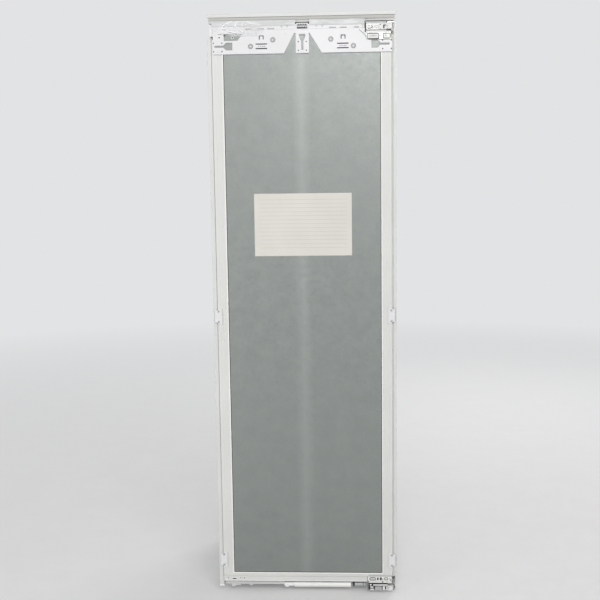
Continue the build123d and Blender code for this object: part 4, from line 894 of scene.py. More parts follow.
    def modify(self, piece: Piece, kind: str, **settings: object) -> Piece:
        """Add one modifier and apply it.

        Args:
            piece: The piece.
            kind: The modifier's type.
            **settings: Its settings.

        Returns:
            The same piece.
        """
        self.hold(piece)
        modifier = piece.modifiers.new(kind.lower(), kind)
        for label, value in settings.items():
            setattr(modifier, label, value)
        bpy.ops.object.modifier_apply(modifier=modifier.name)
        return piece

    def soften(self, piece: Piece, width: float, segments: int = 2, angle: float = 35.0) -> Piece:
        """Round a piece's sharp edges.

        Args:
            piece: The piece.
            width: The width of the rounding, in mm.
            segments: How many faces it has across.
            angle: The least angle of an edge that is rounded, in degrees.

        Returns:
            The same piece.
        """
        if width > 0:
            self.modify(piece, "BEVEL", width=width * MM, segments=segments, limit_method="ANGLE",
                        angle_limit=math.radians(angle), use_clamp_overlap=False)
        return self.smooth(piece)

    def smooth(self, piece: Piece, angle: float = 40.0) -> Piece:
        """Shade a piece smooth up to an angle, with flat faces kept flat."""
        self.hold(piece)
        bpy.ops.object.shade_smooth_by_angle(angle=math.radians(angle))
        return self.modify(piece, "WEIGHTED_NORMAL", keep_sharp=True)

    def cut(self, piece: Piece, tool: Piece) -> Piece:
        """Take one piece's shape out of another, and drop the tool."""
        self.modify(piece, "BOOLEAN", operation="DIFFERENCE", solver="EXACT", object=tool)
        bpy.data.objects.remove(tool)
        return piece

    def merge(self, name: str, pieces: Sequence[Piece]) -> Piece:
        """Join pieces into one.

        Args:
            name: The joined piece's name.
            pieces: The pieces, the first of which stays.

        Returns:
            The joined piece.
        """
        self.hold(pieces[0])
        for piece in pieces:
            piece.select_set(True)
        bpy.ops.object.join()
        pieces[0].name = name
        return pieces[0]

    def lift(self, node: str) -> Piece:
        """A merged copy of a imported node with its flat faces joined.

        Args:
            node: The node's name.

        Returns:
            The copy.
        """
        source = frame["nodes"][node]
        piece = bpy.data.objects.new(node + "_dressed", source.data.copy())
        bpy.context.scene.collection.objects.link(piece)
        self.hold(piece)
        bpy.ops.mesh.customdata_custom_splitnormals_clear()
        bpy.ops.object.mode_set(mode="EDIT")
        bpy.ops.mesh.select_all(action="SELECT")
        bpy.ops.mesh.remove_doubles(threshold=0.00001)
        bpy.ops.mesh.dissolve_limited(angle_limit=math.radians(0.5))
        bpy.ops.object.mode_set(mode="OBJECT")
        return piece


@dataclass
class Assembly:
    """A group of pieces that are built and dressed together."""

    bench: Bench

    def build(self) -> None:
        """Build every piece of the assembly."""
        raise NotImplementedError

    def give(self, piece: Piece, body: str, finish: Finish, replaced: Sequence[str] = ()) -> Piece:
        """Finish a piece and hand it over to the body that carries it.

        Args:
            piece: The piece.
            body: The body that it moves with.
            finish: Its finish.
            replaced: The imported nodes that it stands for.

        Returns:
            The same piece.
        """
        piece.data.materials.clear()
        piece.data.materials.append(finish.material())
        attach(piece, body)
        if replaced:
            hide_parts(*replaced)
        LOG.info("%s rides on %s in %s", piece.name, body, finish.name)
        return piece

    def dress(self, node: str, finish: Finish | None = None, width: float = 0.4, segments: int = 2,
              cuts: Sequence[tuple[int, Sequence[float]]] = ()) -> Piece:
        """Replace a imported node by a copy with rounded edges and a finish.

        Args:
            node: The node's name.
            finish: Its finish, or the one that belongs to its slot.
            width: The width of the rounding in mm, or 0 for none.
            segments: How many faces the rounding has across.
            cuts: Axes with the places in mm where large faces are divided first.

        Returns:
            The copy.
        """
        source = frame["nodes"][node]
        finish = finish or SLOT_FINISHES[source.data.materials[0].name]
        piece = self.bench.lift(node)
        for axis, places in cuts:
            self.bench.slice(piece, places, axis)
        self.bench.soften(piece, width, segments)
        return self.give(piece, source["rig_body"], finish, [node])

    def paint(self, node: str, finish: Finish | None = None) -> None:
        """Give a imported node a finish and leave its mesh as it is."""
        source = frame["nodes"][node]
        finish = finish or SLOT_FINISHES[source.data.materials[0].name]
        source.data.materials[0] = finish.material()
        LOG.info("%s keeps its mesh in %s", node, finish.name)


@dataclass
class Case(Assembly):
    """Outer case, back, base and the trim over the door."""

    edge: float = 0.45
    shell_cuts: tuple[tuple[int, tuple[float, ...]], ...] = (
        (0, (-255.0, -236.0, -100.0, 100.0, 236.0, 255.0)), (2, (62.0, 100.0, 800.0, 1705.0, 1730.0)))
    recess_half: float = 273.9
    recess_y: Span = (-258.4, -257.6)
    recess_z: Span = (1752.6, 1760.9)

    def build(self) -> None:
        """Dress the case and its trim."""
        self.dress("cabinet_shell", CASE_COAT, self.edge, cuts=self.shell_cuts)
        self.dress("back_panel", CARTON, 0.3)
        self.dress("top_trim", WHITE_TRIM, 1.1, 3)
        self.recess()
        self.dress("base_frame", BASE_COAT, 0.4)
        self.dress("machine_tray", BASE_COAT, 0.4)
        self.dress("wall_spacers", BLACK_PLASTIC, 1.0)
        self.paint("insulation_foam")
        for node in ("levelling_foot_left", "levelling_foot_right", "rear_rollers"):
            self.dress(node, None, 0.5)

    def recess(self) -> None:
        """Grey band of painted shadow in the recess under the trim's lip."""
        low, high = self.recess_z
        band = self.bench.block("trim_recess_shade", (-self.recess_half, self.recess_y[0], low),
                                (self.recess_half, self.recess_y[1], high))
        self.give(self.bench.soften(band, 0.2, 1), "cabinet", RECESS_SHADE)


@dataclass
class MachineBay(Assembly):
    """Compressor, its tubes and trays."""

    def build(self) -> None:
        """Dress what stands in the compartment."""
        self.dress("compressor", COMPRESSOR_PAINT, 0.8)
        for node in ("compressor_mounts", "relay_box", "mains_inlet", "drip_tray", "drain_tube"):
            self.dress(node, None, 0.6)
        for node in ("filter_drier", "refrigerant_tubes", "condenser"):
            self.dress(node, None, 0.0)


@dataclass
class Interior(Assembly):
    """Liner, shelves, drawers, light strips and the air duct."""

    def build(self) -> None:
        """Dress what the open door shows."""
        self.dress("inner_liner", LINER_WHITE, 0.6)
        self.dress("air_duct_cover", INNER_WHITE, 0.6)
        self.dress("fan_motor", FAN_GREY, 0.4)
        self.dress("fan_rotor", FAN_GREY, 0.3)
        self.dress("glass_shelves", GLASS, 0.6)
        self.dress("shelf_trims", INNER_WHITE, 0.8)
        self.dress("drawer_runners", INNER_WHITE, 0.6)
        self.dress("led_strips", LIGHT_COVER, 0.6)
        self.dress("control_panel", INNER_WHITE, 0.6)
        for node in ("crisper_box_lower", "crisper_box_upper"):
            self.dress(node, CLEAR_PLASTIC, 0.6)
        for node in ("temperature_button", "mode_button", "light_button", "light_switch_plunger"):
            self.dress(node, None, 0.3)
        self.paint("evaporator")


@dataclass
class DoorInside(Assembly):
    """The door's inner face with its gasket, bins and dairy box."""

    notch_left: float = 186.0
    notch_low: float = 51.0
    notch_high: float = 1706.0

    def build(self) -> None:
        """Dress the door's inner face."""
        self.dress("door_liner", LINER_WHITE, 0.6)
        self.dress("door_gasket", SEAL, 0.8)
        self.dress("door_bins", CLEAR_PLASTIC, 0.6)
        self.dress("dairy_box", INNER_WHITE, 0.6)
        self.dress("dairy_lid", CLEAR_PLASTIC, 0.5)
        self.paint("door_foam")
        self.rear_rim()

    def rear_rim(self) -> None:
        """White rim that closes the door's back between its frame and its liner."""
        low, high = box_mm("door_frame")
        liner_low, liner_high = box_mm("door_liner")
        depths = (high.y, high.y + 1.2)
        inset = 0.5
        left, right = low.x + inset, high.x - inset
        base, head = low.z + inset, high.z - inset
        notch = self.notch_left - inset
        spans = (((left, liner_low.x), (base, head)),
                 ((liner_high.x, right), (self.notch_low + inset, self.notch_high - inset)),
                 ((liner_low.x, liner_high.x), (self.notch_low + inset, liner_low.z)),
                 ((liner_low.x, notch), (base, self.notch_low + inset)),
                 ((liner_low.x, notch), (liner_high.z, head)))
        bars = [self.bench.block("rim_bar", (x[0], depths[0], z[0]), (x[1], depths[1], z[1]))
                for x, z in spans]
        self.give(self.bench.smooth(self.bench.merge("door_rear_rim", bars)), "door", WHITE_FRAME)


@dataclass
class DoorFront(Assembly):
    """White frame, metal skin, edge trims, card and brackets."""

    bead_width: float = 3.2
    bead_proud: float = 1.1
    gap_shade_width: float = 1.6
    rib_width: float = 0.9
    rib_proud: float = 0.4
    rib_shares: tuple[float, ...] = (0.3, 0.55, 0.78)
    rail_holes: tuple[float, ...] = (-250.0, -211.0, -200.0)
    rail_slot: Span = (-231.0, 42.0)
    rail_z: float = 44.0
    frame_cuts: tuple[tuple[int, tuple[float, ...]], ...] = (
        (0, (-240.0, -221.0, -205.0, 0.0, 184.5, 240.0)),
        (2, (38.2, 42.0, 44.0, 50.0, 58.0, 800.0, 1703.0, 1705.0, 1715.0, 1730.0)))
    lip_x: Span = (-262.0, 178.0)
    lip_y: Span = (-241.0, -236.0)
    lip_z: Span = (24.5, 36.0)
    lip_front: float = -257.0
    fore_low: float = 18.5
    fore_end: float = -72.0
    rail_span: Span = (-262.0, 186.0)
    groove_z: Span = (49.8, 50.9)
    clip_z: tuple[float, float, float] = (1697.5, 1703.2, 1706.2)

    def build(self) -> None:
        """Build and dress the front of the door."""
        self.dress("door_skin", SKIN_COAT, 0.2)
        self.dress("door_frame", WHITE_FRAME, 0.25, cuts=self.frame_cuts)
        self.dress("side_trims", WHITE_TRIM, 0.8)
        self.dress("side_brackets", WHITE_ENAMEL, 0.3)
        self.dress("door_screws", SCREW_STEEL, 0.0)
        self.card()
        self.bead()
        self.frame_ribs()
        self.rail_rims()
        self.rail_lines()
        self.lip()
        self.strip_notch()
        self.left_edge()

    def channel(self, name: str, sides: Span, low: float, high: float, width: float,
                depths: Span) -> Piece:
        """A bar that runs down one side, across the bottom and up the other side.

        Args:
            name: The piece's name.
            sides: The inner edges of its two uprights, in mm.
            low: The upper edge of its bottom run, in mm.
            high: The top of its uprights, in mm.
            width: The bar's width, in mm.
            depths: The bar's front and back, in mm.

        Returns:
            The piece.
        """
        left, right = sides
        piece = self.bench.block(name, (left - width, depths[0], low - width), (left, depths[1], low))
        self.bench.extrude(piece, lambda middle, normal: normal.x > 0.9, (right - left, 0, 0))
        self.bench.extrude(piece, lambda middle, normal: normal.x > 0.9, (width, 0, 0))
        inner = (left * MM, right * MM)
        self.bench.extrude(piece, lambda middle, normal: normal.z > 0.9
                           and not inner[0] < middle.x < inner[1], (0, 0, high - low))
        return piece

    def bead(self) -> None:
        """A rounded bead in painted-highlight white, and a thin dark strip of painted shadow in the gap
        round the skin.
        """
        skin_low, skin_high = box_mm("door_skin")
        face = box_mm("door_frame")[0].y
        top = box_mm("hanger_plate")[0].z + 4
        bead = self.channel("frame_bead", (skin_low.x, skin_high.x), skin_low.z, top, self.bead_width,
                            (face - self.bead_proud, face))
        self.give(self.bench.soften(bead, 0.9, 3), "door", PAINTED_LIGHT_WHITE)
        inner = (skin_low.x + self.gap_shade_width, skin_high.x - self.gap_shade_width)
        # Painted shadow: a dark strip in the gap between the bead and the skin.
        gap_shade = self.channel("skin_gap_shade", inner, skin_low.z + self.gap_shade_width, top, self.gap_shade_width,
                            (face + 0.1, skin_low.y))
        self.give(self.bench.soften(gap_shade, 0.1, 1), "door", DARK_PAINTED_SHADE)

    def frame_ribs(self) -> None:
        """Low upright ribs on the frame between its edge and the bead."""
        skin_low, skin_high = box_mm("door_skin")
        low, high = box_mm("door_frame")
        bottom = skin_low.z
        top = box_mm("hanger_plate")[0].z + 4
        ribs = []
        for outer, inner in ((low.x, skin_low.x - self.bead_width), (high.x, skin_high.x + self.bead_width)):
            for share in self.rib_shares:
                x = outer + share * (inner - outer)
                rib = self.bench.block("frame_rib", (x - self.rib_width / 2, low.y - self.rib_proud, bottom),
                                       (x + self.rib_width / 2, low.y, top))
                ribs.append(self.bench.soften(rib, 0.2, 2))
        self.give(self.bench.merge("frame_ribs", ribs), "door", WHITE_FRAME)

    def card(self) -> None:
        """Blank ruled card on the skin."""
        low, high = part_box("fitting_card")
        finish = CardFinish("ruled_card", "paper_card", tone(208, 205, 197), tone(201, 198, 190), 0.6,
                            grain_scale=1300.0, low=(low.x, low.z), high=(high.x, high.z))
        self.dress("fitting_card", finish, 0.1)

    def rail_rims(self) -> None:
        """Raised rims in painted-highlight white, and dark discs of painted shade in the bottom rail's holes
        and slot.
        """
        face = box_mm("door_frame")[0].y
        rims = [self.bench.ring("rim", (x, face, self.rail_z), 3.2, 0.5) for x in self.rail_holes]
        slot_x, slot_z = self.rail_slot
        rims.append(self.bench.frame("slot_rim", (slot_x - 8.2, face - 0.8, slot_z - 3.4),
                                     (slot_x + 8.2, face + 0.1, slot_z + 3.4), 1.4, 2.4))
        self.give(self.bench.smooth(self.bench.merge("rail_rims", rims)), "door", PAINTED_LIGHT_WHITE)
        hole_shades = [self.bench.drum("hole_shade_disc", (x, face + 0.7, self.rail_z), (x, face + 1.3, self.rail_z), 2.3, 20)
                 for x in self.rail_holes]
        hole_shades.append(self.bench.block("slot_shade", (slot_x - 6.4, face + 0.5, slot_z - 2.1),
                                      (slot_x + 6.4, face + 1.3, slot_z + 2.1)))
        self.give(self.bench.merge("rail_hole_shades", hole_shades), "door", DARK_PAINTED_SHADE)

    def rail_lines(self) -> None:
        """Groove, rounded edge and gap along the bottom rail: painted shade in the groove, a painted
        highlight on the edge and a dark painted shadow under the frame's bottom edge.
        """
        face = box_mm("door_frame")[0].y
        base = box_mm("door_frame")[0].z
        left, right = self.rail_span
        edge = self.bench.block("rail_edge", (left, face - 0.8, base + 0.1), (right, face + 0.1, base + 2.0))
        self.give(self.bench.soften(edge, 0.35, 2), "door", PAINTED_LIGHT_WHITE)
        groove = self.bench.block("rail_groove_shade", (left, face - 0.5, self.groove_z[0]),
                                  (right, face + 0.1, self.groove_z[1]))
        self.give(self.bench.soften(groove, 0.1, 1), "door", RECESS_SHADE)
        # Painted shadow: a dark strip under the frame's bottom edge.
        gap = self.bench.block("rail_shadow", (self.fore_end, face + 0.4, base - 1.6),
                               (right - 2, face + 1.8, base - 0.05))
        self.give(self.bench.soften(gap, 0.1, 1), "door", DARK_PAINTED_SHADE)

    def lip(self) -> None:
        """Lower lip under the door with its two hanging tabs, and a grey strip of painted shade in the gap
        above it.
        """
        y = self.lip_y
        low, high = self.lip_z
        foot = self.fore_low
        front = self.lip_front
        left, end = self.lip_x[0], self.fore_end
        tab = self.bench.block("wide_tab", (-243, front - 1, 12.0), (-228, front + 4, foot + 0.5))
        self.bench.squeeze(tab, lambda middle, normal: normal.z < -0.9, (0.6, 1, 1), (-233, front, 12.0))
        pieces = [self.bench.block("door_lip", (left, y[0], low), (self.lip_x[1], y[1], high)),
                  self.bench.block("fore_lip", (left, front, foot), (end, front + 3, high)),
                  self.bench.block("lip_floor", (left, front, foot), (end, y[0] + 1, foot + 2)),
                  tab,
                  self.bench.block("tab_step", (-230, front - 0.6, 15.8), (-212, front + 3.6, foot + 0.5)),
                  self.bench.block("small_tab", (-184, front - 0.6, 15.6), (-174, front + 3, foot + 0.5))]
        pieces = [self.bench.soften(piece, 0.8, 2) for piece in pieces]
        self.give(self.bench.merge("door_lip", pieces), "door", WHITE_TRIM)
        gap = self.bench.block("lip_gap_shade", (left + 1, front - 0.4, high - 6.6),
                               (end - 1, front + 0.4, high - 3.8))
        self.give(self.bench.soften(gap, 0.1, 1), "door", PRINT_AND_SHADE_GREY)

    def strip_notch(self) -> None:
        """Dark painted shade of the clip notch beside the left strip's top."""
        low = box_mm("door_frame")[0]
        front, back = low.y - 1.2, low.y + 0.2
        foot, step, top = self.clip_z
        head = self.bench.block("clip_notch_shade", (low.x - 2.5, front, step), (low.x + 5.0, back, top))
        stem = self.bench.block("clip_stem", (low.x + 2.1, front, foot), (low.x + 5.0, back, step))
        self.give(self.bench.merge("clip_notch_shade", [head, stem]), "door", DARK_PAINTED_SHADE)

    def left_edge(self) -> None:
        """Cover, painted shadow line and foot of the left strip, and the door's edge above it; the foot and
        the edge are paler white as painted highlight.
        """
        low, high = box_mm("door_frame")
        strip_low, strip_high = box_mm("side_trims")
        front = strip_low.y
        cover = self.bench.block("strip_cover", (strip_low.x + 1.0, front - 0.7, strip_low.z + 0.5),
                                 (low.x - 2.2, front + 0.3, strip_high.z - 0.5))
        self.give(self.bench.soften(cover, 0.3, 2), "door", WHITE_TRIM)
        shade = self.bench.block("strip_shade", (low.x - 1.9, front - 1.2, low.z + 0.5),
                                 (low.x - 0.05, front + 0.1, strip_high.z - 2))
        self.give(self.bench.soften(shade, 0.1, 1), "door", SHADE_AND_MARK_GREY)
        foot = self.bench.block("strip_foot", (strip_low.x + 0.2, front - 2, strip_low.z - 1.4),
                                (low.x + 0.6, front + 12, strip_low.z + 3))
        self.give(self.bench.soften(foot, 1.0, 2), "door", PAINTED_LIGHT_WHITE)
        edge = self.bench.block("door_edge", (low.x - 5.2, low.y + 6, strip_high.z + 3.5),
                                (low.x - 0.05, low.y + 28, high.z + 3.0))
        self.give(self.bench.soften(edge, 0.5, 2), "door", PAINTED_LIGHT_WHITE)


@dataclass
class HangerPlate(Assembly):
    """Pressed plate at the door's head with its adjuster, rings and scale."""

    face: float = -269.9
    seat: float = -268.4
    fold: float = 1723.5
    fold_depth: float = 0.5
    bottom: float = 1654.0
    runs: tuple[Span, ...] = ((-259.0, -52.0), (-15.0, 22.0), (62.0, 265.0))
    rings: tuple[Span, ...] = ((-83.0, 1694.0), (-149.0, 1676.0), (87.0, 1693.0),
                                              (153.0, 1673.0))
    lances: tuple[Span, ...] = ((-117.0, 1700.0), (123.0, 1698.0))
    ladders: tuple[Span, ...] = ((-117.0, 1676.0), (122.0, 1674.0))
    hole_groups: tuple[tuple[float, float, float, float], ...] = (
        (3.5, 1675.0, 23.0, 25.0), (-246.0, 1675.0, 25.0, 24.0), (251.0, 1675.0, 25.0, 24.0))
    tick_groups: tuple[Span, ...] = (
        (-163.0, -145.0), (-128.0, -108.0), (-98.0, -78.0), (83.0, 103.0), (114.0, 134.0), (155.0, 170.0))
    keyhole: tuple[Span, ...] = ((-6.6, 1706.6), (13.6, 1706.6), (6.1, 1687.6), (6.1, 1663.6),
                                 (0.9, 1663.6), (0.9, 1687.6))
    upper_cut: tuple[Span, ...] = ((-226.9, 1693.6), (-187.3, 1693.6), (-172.9, 1711.4), (-226.9, 1711.4))
    slot_z: float = 1677.0
    key_slots: tuple[tuple[float, int], ...] = ((-203.0, -1), (206.0, 1))
    pin_holes: tuple[tuple[float, float, float, float], ...] = (
        (-241.0, -269.9, 1703.0, 1.9), (-202.7, -267.85, 1702.3, 2.0))
    tick_z: float = 1726.0
    tick_pitch: float = 3.4
    dots: tuple[float, ...] = (-57.0, -40.0, 45.0, 63.0)
    band_spans: tuple[Span, ...] = ((-264.0, -17.0), (24.0, 186.0))
    band_z: Span = (1734.0, 1751.0)
    band_y: Span = (-270.8, -262.8)
    fold_stretch: float = 7.0
    film_middle: tuple[float, float, float] = (-186.0, -270.9, 1722.0)
    film_size: Span = (150.0, 34.0)
    creases: tuple[tuple[float | Span, ...], ...] = (
        (1.3, (-203, 1750), (-222, 1742), (-230, 1737), (-231, 1730), (-220, 1725.6), (-212, 1720),
         (-190, 1715)),
        (0.8, (-230, 1737), (-237, 1740)),
        (1.2, (-186, 1748.6), (-194.5, 1738), (-182, 1729), (-170, 1717), (-171.5, 1713)),
        (0.8, (-159, 1749), (-147, 1742), (-117, 1738.3)),
        (0.8, (-171, 1744), (-174, 1737.5), (-168, 1733.5)),
        (0.9, (-244.6, 1714.7), (-214, 1714.7)))
    adjuster_x: Span = (-11.5, 18.5)
    adjuster_z: Span = (1724.4, 1738.6)
    plate_cuts: tuple[tuple[int, tuple[float, ...]], ...] = (
        (0, (-258.0, -216.0, -168.0, -100.0, -52.0, -14.0, 21.0, 62.0, 105.0, 170.0, 187.0, 240.0)),
        (2, (1661.0, 1677.0, 1690.5, 1708.0, 1717.0)))

    def build(self) -> None:
        """Build and dress the plate."""
        self.pressed_plate()
        self.edge_roll()
        self.ring_rims()
        self.shade_holes()
        self.outlines()
        self.scale()
        self.adjuster()
        self.film()
        self.trim_film()

    def pressed_plate(self) -> None:
        """The plate with its head folded back."""
        piece = self.bench.lift("hanger_plate")
        for axis, places in self.plate_cuts:
            self.bench.slice(piece, places, axis)
        self.bench.slice(piece, (self.fold,), 2)
        fold = self.fold * MM
        front = (self.face + 0.1) * MM
        self.bench.extrude(piece, lambda middle, normal: normal.y < -0.9 and middle.z > fold
                           and middle.y < front, (0, self.fold_depth, 0))
        self.give(self.bench.soften(piece, 0.3), "door", WHITE_ENAMEL, ["hanger_plate"])

    def edge_roll(self) -> None:
        """Rolled lower edge of the plate and its shadow line."""
        rolls = []
        for left, right in self.runs:
            roll = self.bench.block("roll", (left, self.face - 0.9, self.bottom + 0.2),
                                    (right, self.face + 0.4, self.bottom + 2.8))
            rolls.append(self.bench.soften(roll, 0.6, 3))
        self.give(self.bench.merge("plate_rolls", rolls), "door", WHITE_ENAMEL)
        shades = [self.bench.block("shade", (left + 0.4, self.seat - 0.5, self.bottom - 1.0),
                                   (right - 0.4, self.seat + 0.35, self.bottom + 0.1))
                  for left, right in self.runs]
        self.give(self.bench.merge("plate_shades", shades), "door", PRINT_AND_SHADE_GREY)

    def ring_rims(self) -> None:
        """Grey pressed rings round the plate's fixing points, coloured as painted shade."""
        outer = [self.bench.ring("outer", (x, self.face - 0.9, z), 6.4, 0.8) for x, z in self.rings]
        self.give(self.bench.smooth(self.bench.merge("ring_rims", outer)), "door", PRINT_AND_SHADE_GREY)
        inner = [self.bench.ring("inner", (x, self.face - 0.9, z), 3.9, 0.8) for x, z in self.rings]
        self.give(self.bench.smooth(self.bench.merge("ring_seats", inner)), "door", SHADE_AND_MARK_GREY)

    def shade_holes(self) -> None:
        """Dark painted shade in the plate's holes, cuts and corners."""
        hole_shades = []
        back = (self.seat - 0.25, self.seat - 0.02)
        for middle_x, middle_z, wide, high in self.hole_groups:
            for x in (middle_x - wide / 2, middle_x + wide / 2):
                for z in (middle_z - high / 2, middle_z + high / 2):
                    hole_shades.append(self.bench.drum("hole", (x, back[0], z), (x, back[1], z), 1.75, 20))
        for x, z in self.lances:
            hole_shades.append(self.bench.block("lance", (x - 6.8, back[0], z + 4.5), (x + 6.8, back[1], z + 6.9)))
            for side in (-5.7, 5.7):
                hole_shades.append(self.bench.block("lance_leg", (x + side - 1.1, back[0], z - 4.4),
                                              (x + side + 1.1, back[1], z + 4.6)))
        for x, z in self.ladders:
            for side in (-6.5, 6.5):
                hole_shades.append(self.bench.block("ladder", (x - 16.8, back[0], z + side - 1.4),
                                              (x + 16.8, back[1], z + side + 1.4)))
        for x in (-18.6, 24.0):
            hole_shades.append(self.bench.drum("corner", (x, back[0] - 0.6, 1710.2), (x, back[1], 1710.2), 1.5, 3))
        for x, y, z, radius in self.pin_holes:
            hole_shades.append(self.bench.drum("pin_hole", (x, y - 0.2, z), (x, y, z), radius, 24))
        hole_shades.append(self.bench.block("square_hole", (-228.2, self.face - 0.05, 1706.6),
                                      (-223.4, self.face + 0.2, 1711.2)))
        self.give(self.bench.merge("plate_hole_shades", hole_shades), "door", DARK_PAINTED_SHADE)

    def outlines(self) -> None:
        """Fine pressed edges round the plate's cut-outs as grey lines of painted shade, painted shade in the
        grounds of its slots, printed ladder marks, and rims of painted highlight round its pin holes.
        """
        y = self.face - 0.05
        half, stem, z = 10.5, 2.5, self.slot_z
        loops = []
        for start, way in self.key_slots:
            shape = ((0, -half), (18, -half), (26, -stem), (52, -stem),
                     (52, stem), (26, stem), (18, half), (0, half))
            points = [(start + way * x, y, z + up) for x, up in shape]
            loops.append(self.bench.wire("slot_edge", points, 0.4))
        loops.append(self.bench.wire("keyhole_edge", [(x, y, z) for x, z in self.keyhole], 0.45))
        loops.append(self.bench.block("keyhole_cap", (-5.0, y - 0.2, 1706.8), (12.0, y + 0.2, 1709.6)))
        loops.append(self.bench.wire("cut_edge", [(x, y, z) for x, z in self.upper_cut], 0.4))
        loops.append(self.bench.block("plate_dash", (-243.6, y, 1711.4), (-234.6, y + 0.2, 1712.6)))
        self.give(self.bench.merge("plate_outlines", loops), "door", SHADE_AND_MARK_GREY)
        rims = [self.bench.ring("pin_rim", (x, y, z), radius + 1.4, 0.9)
                for x, y, z, radius in self.pin_holes]
        self.give(self.bench.smooth(self.bench.merge("pin_rims", rims)), "door", PAINTED_LIGHT_WHITE)
        grounds = []
        for start, way in self.key_slots:
            ends = sorted((start + way * 26, start + way * 52))
            grounds.append(self.bench.block("stem_shade", (ends[0], self.seat - 0.3, z - 2.4),
                                            (ends[1], self.seat - 0.02, z + 2.4)))
        for x, middle in self.ladders:
            for step in (-8, -2, 4, 9):
                grounds.append(self.bench.block("ladder_mark", (x + step - 2, y, middle - 1.3),
                                                (x + step + 2, y + 0.1, middle + 1.3)))
        self.give(self.bench.merge("slot_ground_shades", grounds), "door", SHADE_AND_MARK_GREY)

    def scale(self) -> None:
        """Plain printed ticks along the plate's head, and a grey line of painted shade along its fold."""
        face = self.face + self.fold_depth
        marks = []
        for left, right in self.tick_groups:
            marks.append(self.bench.block("base", (left, face - 0.06, self.tick_z - 1.3),
                                          (right, face + 0.1, self.tick_z - 0.1)))
            count = int((right - left) / self.tick_pitch)
            for place in range(count + 1):
                x = left + place * self.tick_pitch
                high = 2.8 if place % 2 else 1.7
                marks.append(self.bench.block("tick", (x - 0.7, face - 0.06, self.tick_z),
                                              (x + 0.7, face + 0.1, self.tick_z + high)))
        for x in self.dots:
            marks.append(self.bench.ring("dot", (x, face, self.tick_z + 5.5), 2.0, 0.35))
        self.give(self.bench.merge("plate_scale", marks), "door", PRINT_AND_SHADE_GREY)
        lines = [self.bench.block("fold", (left, self.face + 0.05, self.fold - 0.3),
                                  (right, self.face + 0.45, self.fold + 0.3))
                 for left, right in ((-228.0, -22.0), (27.0, 177.0))]
        self.give(self.bench.merge("fold_shade_line", lines), "door", SHADE_AND_MARK_GREY)

    def adjuster(self) -> None:
        """Dark adjuster with a white seat and two toothed rows."""
        self.dress("hanger_adjuster", DARK_BLOCK, 0.2)
        left, right = self.adjuster_x
        low, high = self.adjuster_z
        front = box_mm("hanger_adjuster")[0].y
        seat = self.bench.frame("seat", (left - 2.2, front + 0.2, low - 2.2),
                                (right + 2.2, self.face + 0.3, high + 2.0), 2.1, 1.5)
        bar = self.bench.block("bar", (left, front - 0.35, low + 5.8), (right, front + 0.3, low + 8.2))
        pieces = [seat, bar]
        pitch = (right - left) / 6
        for place in range(6):
            x = left + (place + 0.5) * pitch
            upper = self.bench.block("tooth", (x - 1.7, front - 0.3, low + 10.0),
                                     (x + 1.7, front + 0.3, high))
            self.bench.squeeze(upper, lambda middle, normal: normal.z < -0.9, (0.25, 1, 1),
                               (x, front, low + 10))
            pieces.append(upper)
        for place in range(5):
            x = left + (place + 0.9) * pitch
            lower = self.bench.block("notch", (x - 0.6, front - 0.3, low + 3.4),
                                     (x + 0.6, front + 0.3, low + 6))
            pieces.append(lower)
        whole = self.bench.soften(self.bench.merge("adjuster_seat", pieces), 0.15, 1)
        self.give(whole, "door", WHITE_ENAMEL)
        ring = self.bench.ring("adjuster_ring", (right - 2.8, front - 0.2, low + 2.8), 1.7, 0.5)
        self.give(self.bench.smooth(ring), "door", SHADE_AND_MARK_GREY)

    def film(self) -> None:
        """Creased clear transport film that is left under the trim, with white wires of painted highlight on
        its creases and grey wires of painted shadow below them.
        """
        self.bench.clear()
        bpy.ops.mesh.primitive_grid_add(x_subdivisions=90, y_subdivisions=30, size=1,
                                        location=Vector(self.film_middle) * MM,
                                        rotation=(math.radians(90), 0, 0))
        sheet = bpy.context.object
        sheet.name = "transport_film"
        sheet.scale = (self.film_size[0] * MM, self.film_size[1] * MM, 1)
        self.bench.settle(sheet)
        folds = bpy.data.textures.new("film_folds", "CLOUDS")
        folds.noise_scale = 0.03
        self.bench.modify(sheet, "DISPLACE", texture=folds, strength=0.0024, mid_level=0.5)
        self.bench.modify(sheet, "SOLIDIFY", thickness=0.00006)
        self.give(self.bench.smooth(sheet, 70), "door", FILM)
        creases, shades = [], []
        for radius, *route in self.creases:
            points = [(x, self.crease_y(z), z) for x, z in route]
            creases.append(self.bench.wire("crease", points, radius, False))
            points = [(x + 0.8, self.crease_y(z) + 0.5, z - 1.5) for x, z in route]
            shades.append(self.bench.wire("crease_shade", points, radius * 0.6, False))
        self.give(self.bench.merge("film_crease_highlights", creases), "door", CREASE_HIGHLIGHT)
        self.give(self.bench.merge("crease_shades", shades), "door", SHADE_AND_MARK_GREY)

    def crease_y(self, z: float) -> float:
        """How far forward the film hangs at a height, in mm."""
        low, high = self.band_z
        share = min(max((z - low) / (high - low), 0.0), 1.0)
        return self.band_y[0] + share * (self.band_y[1] - self.band_y[0]) - 0.4

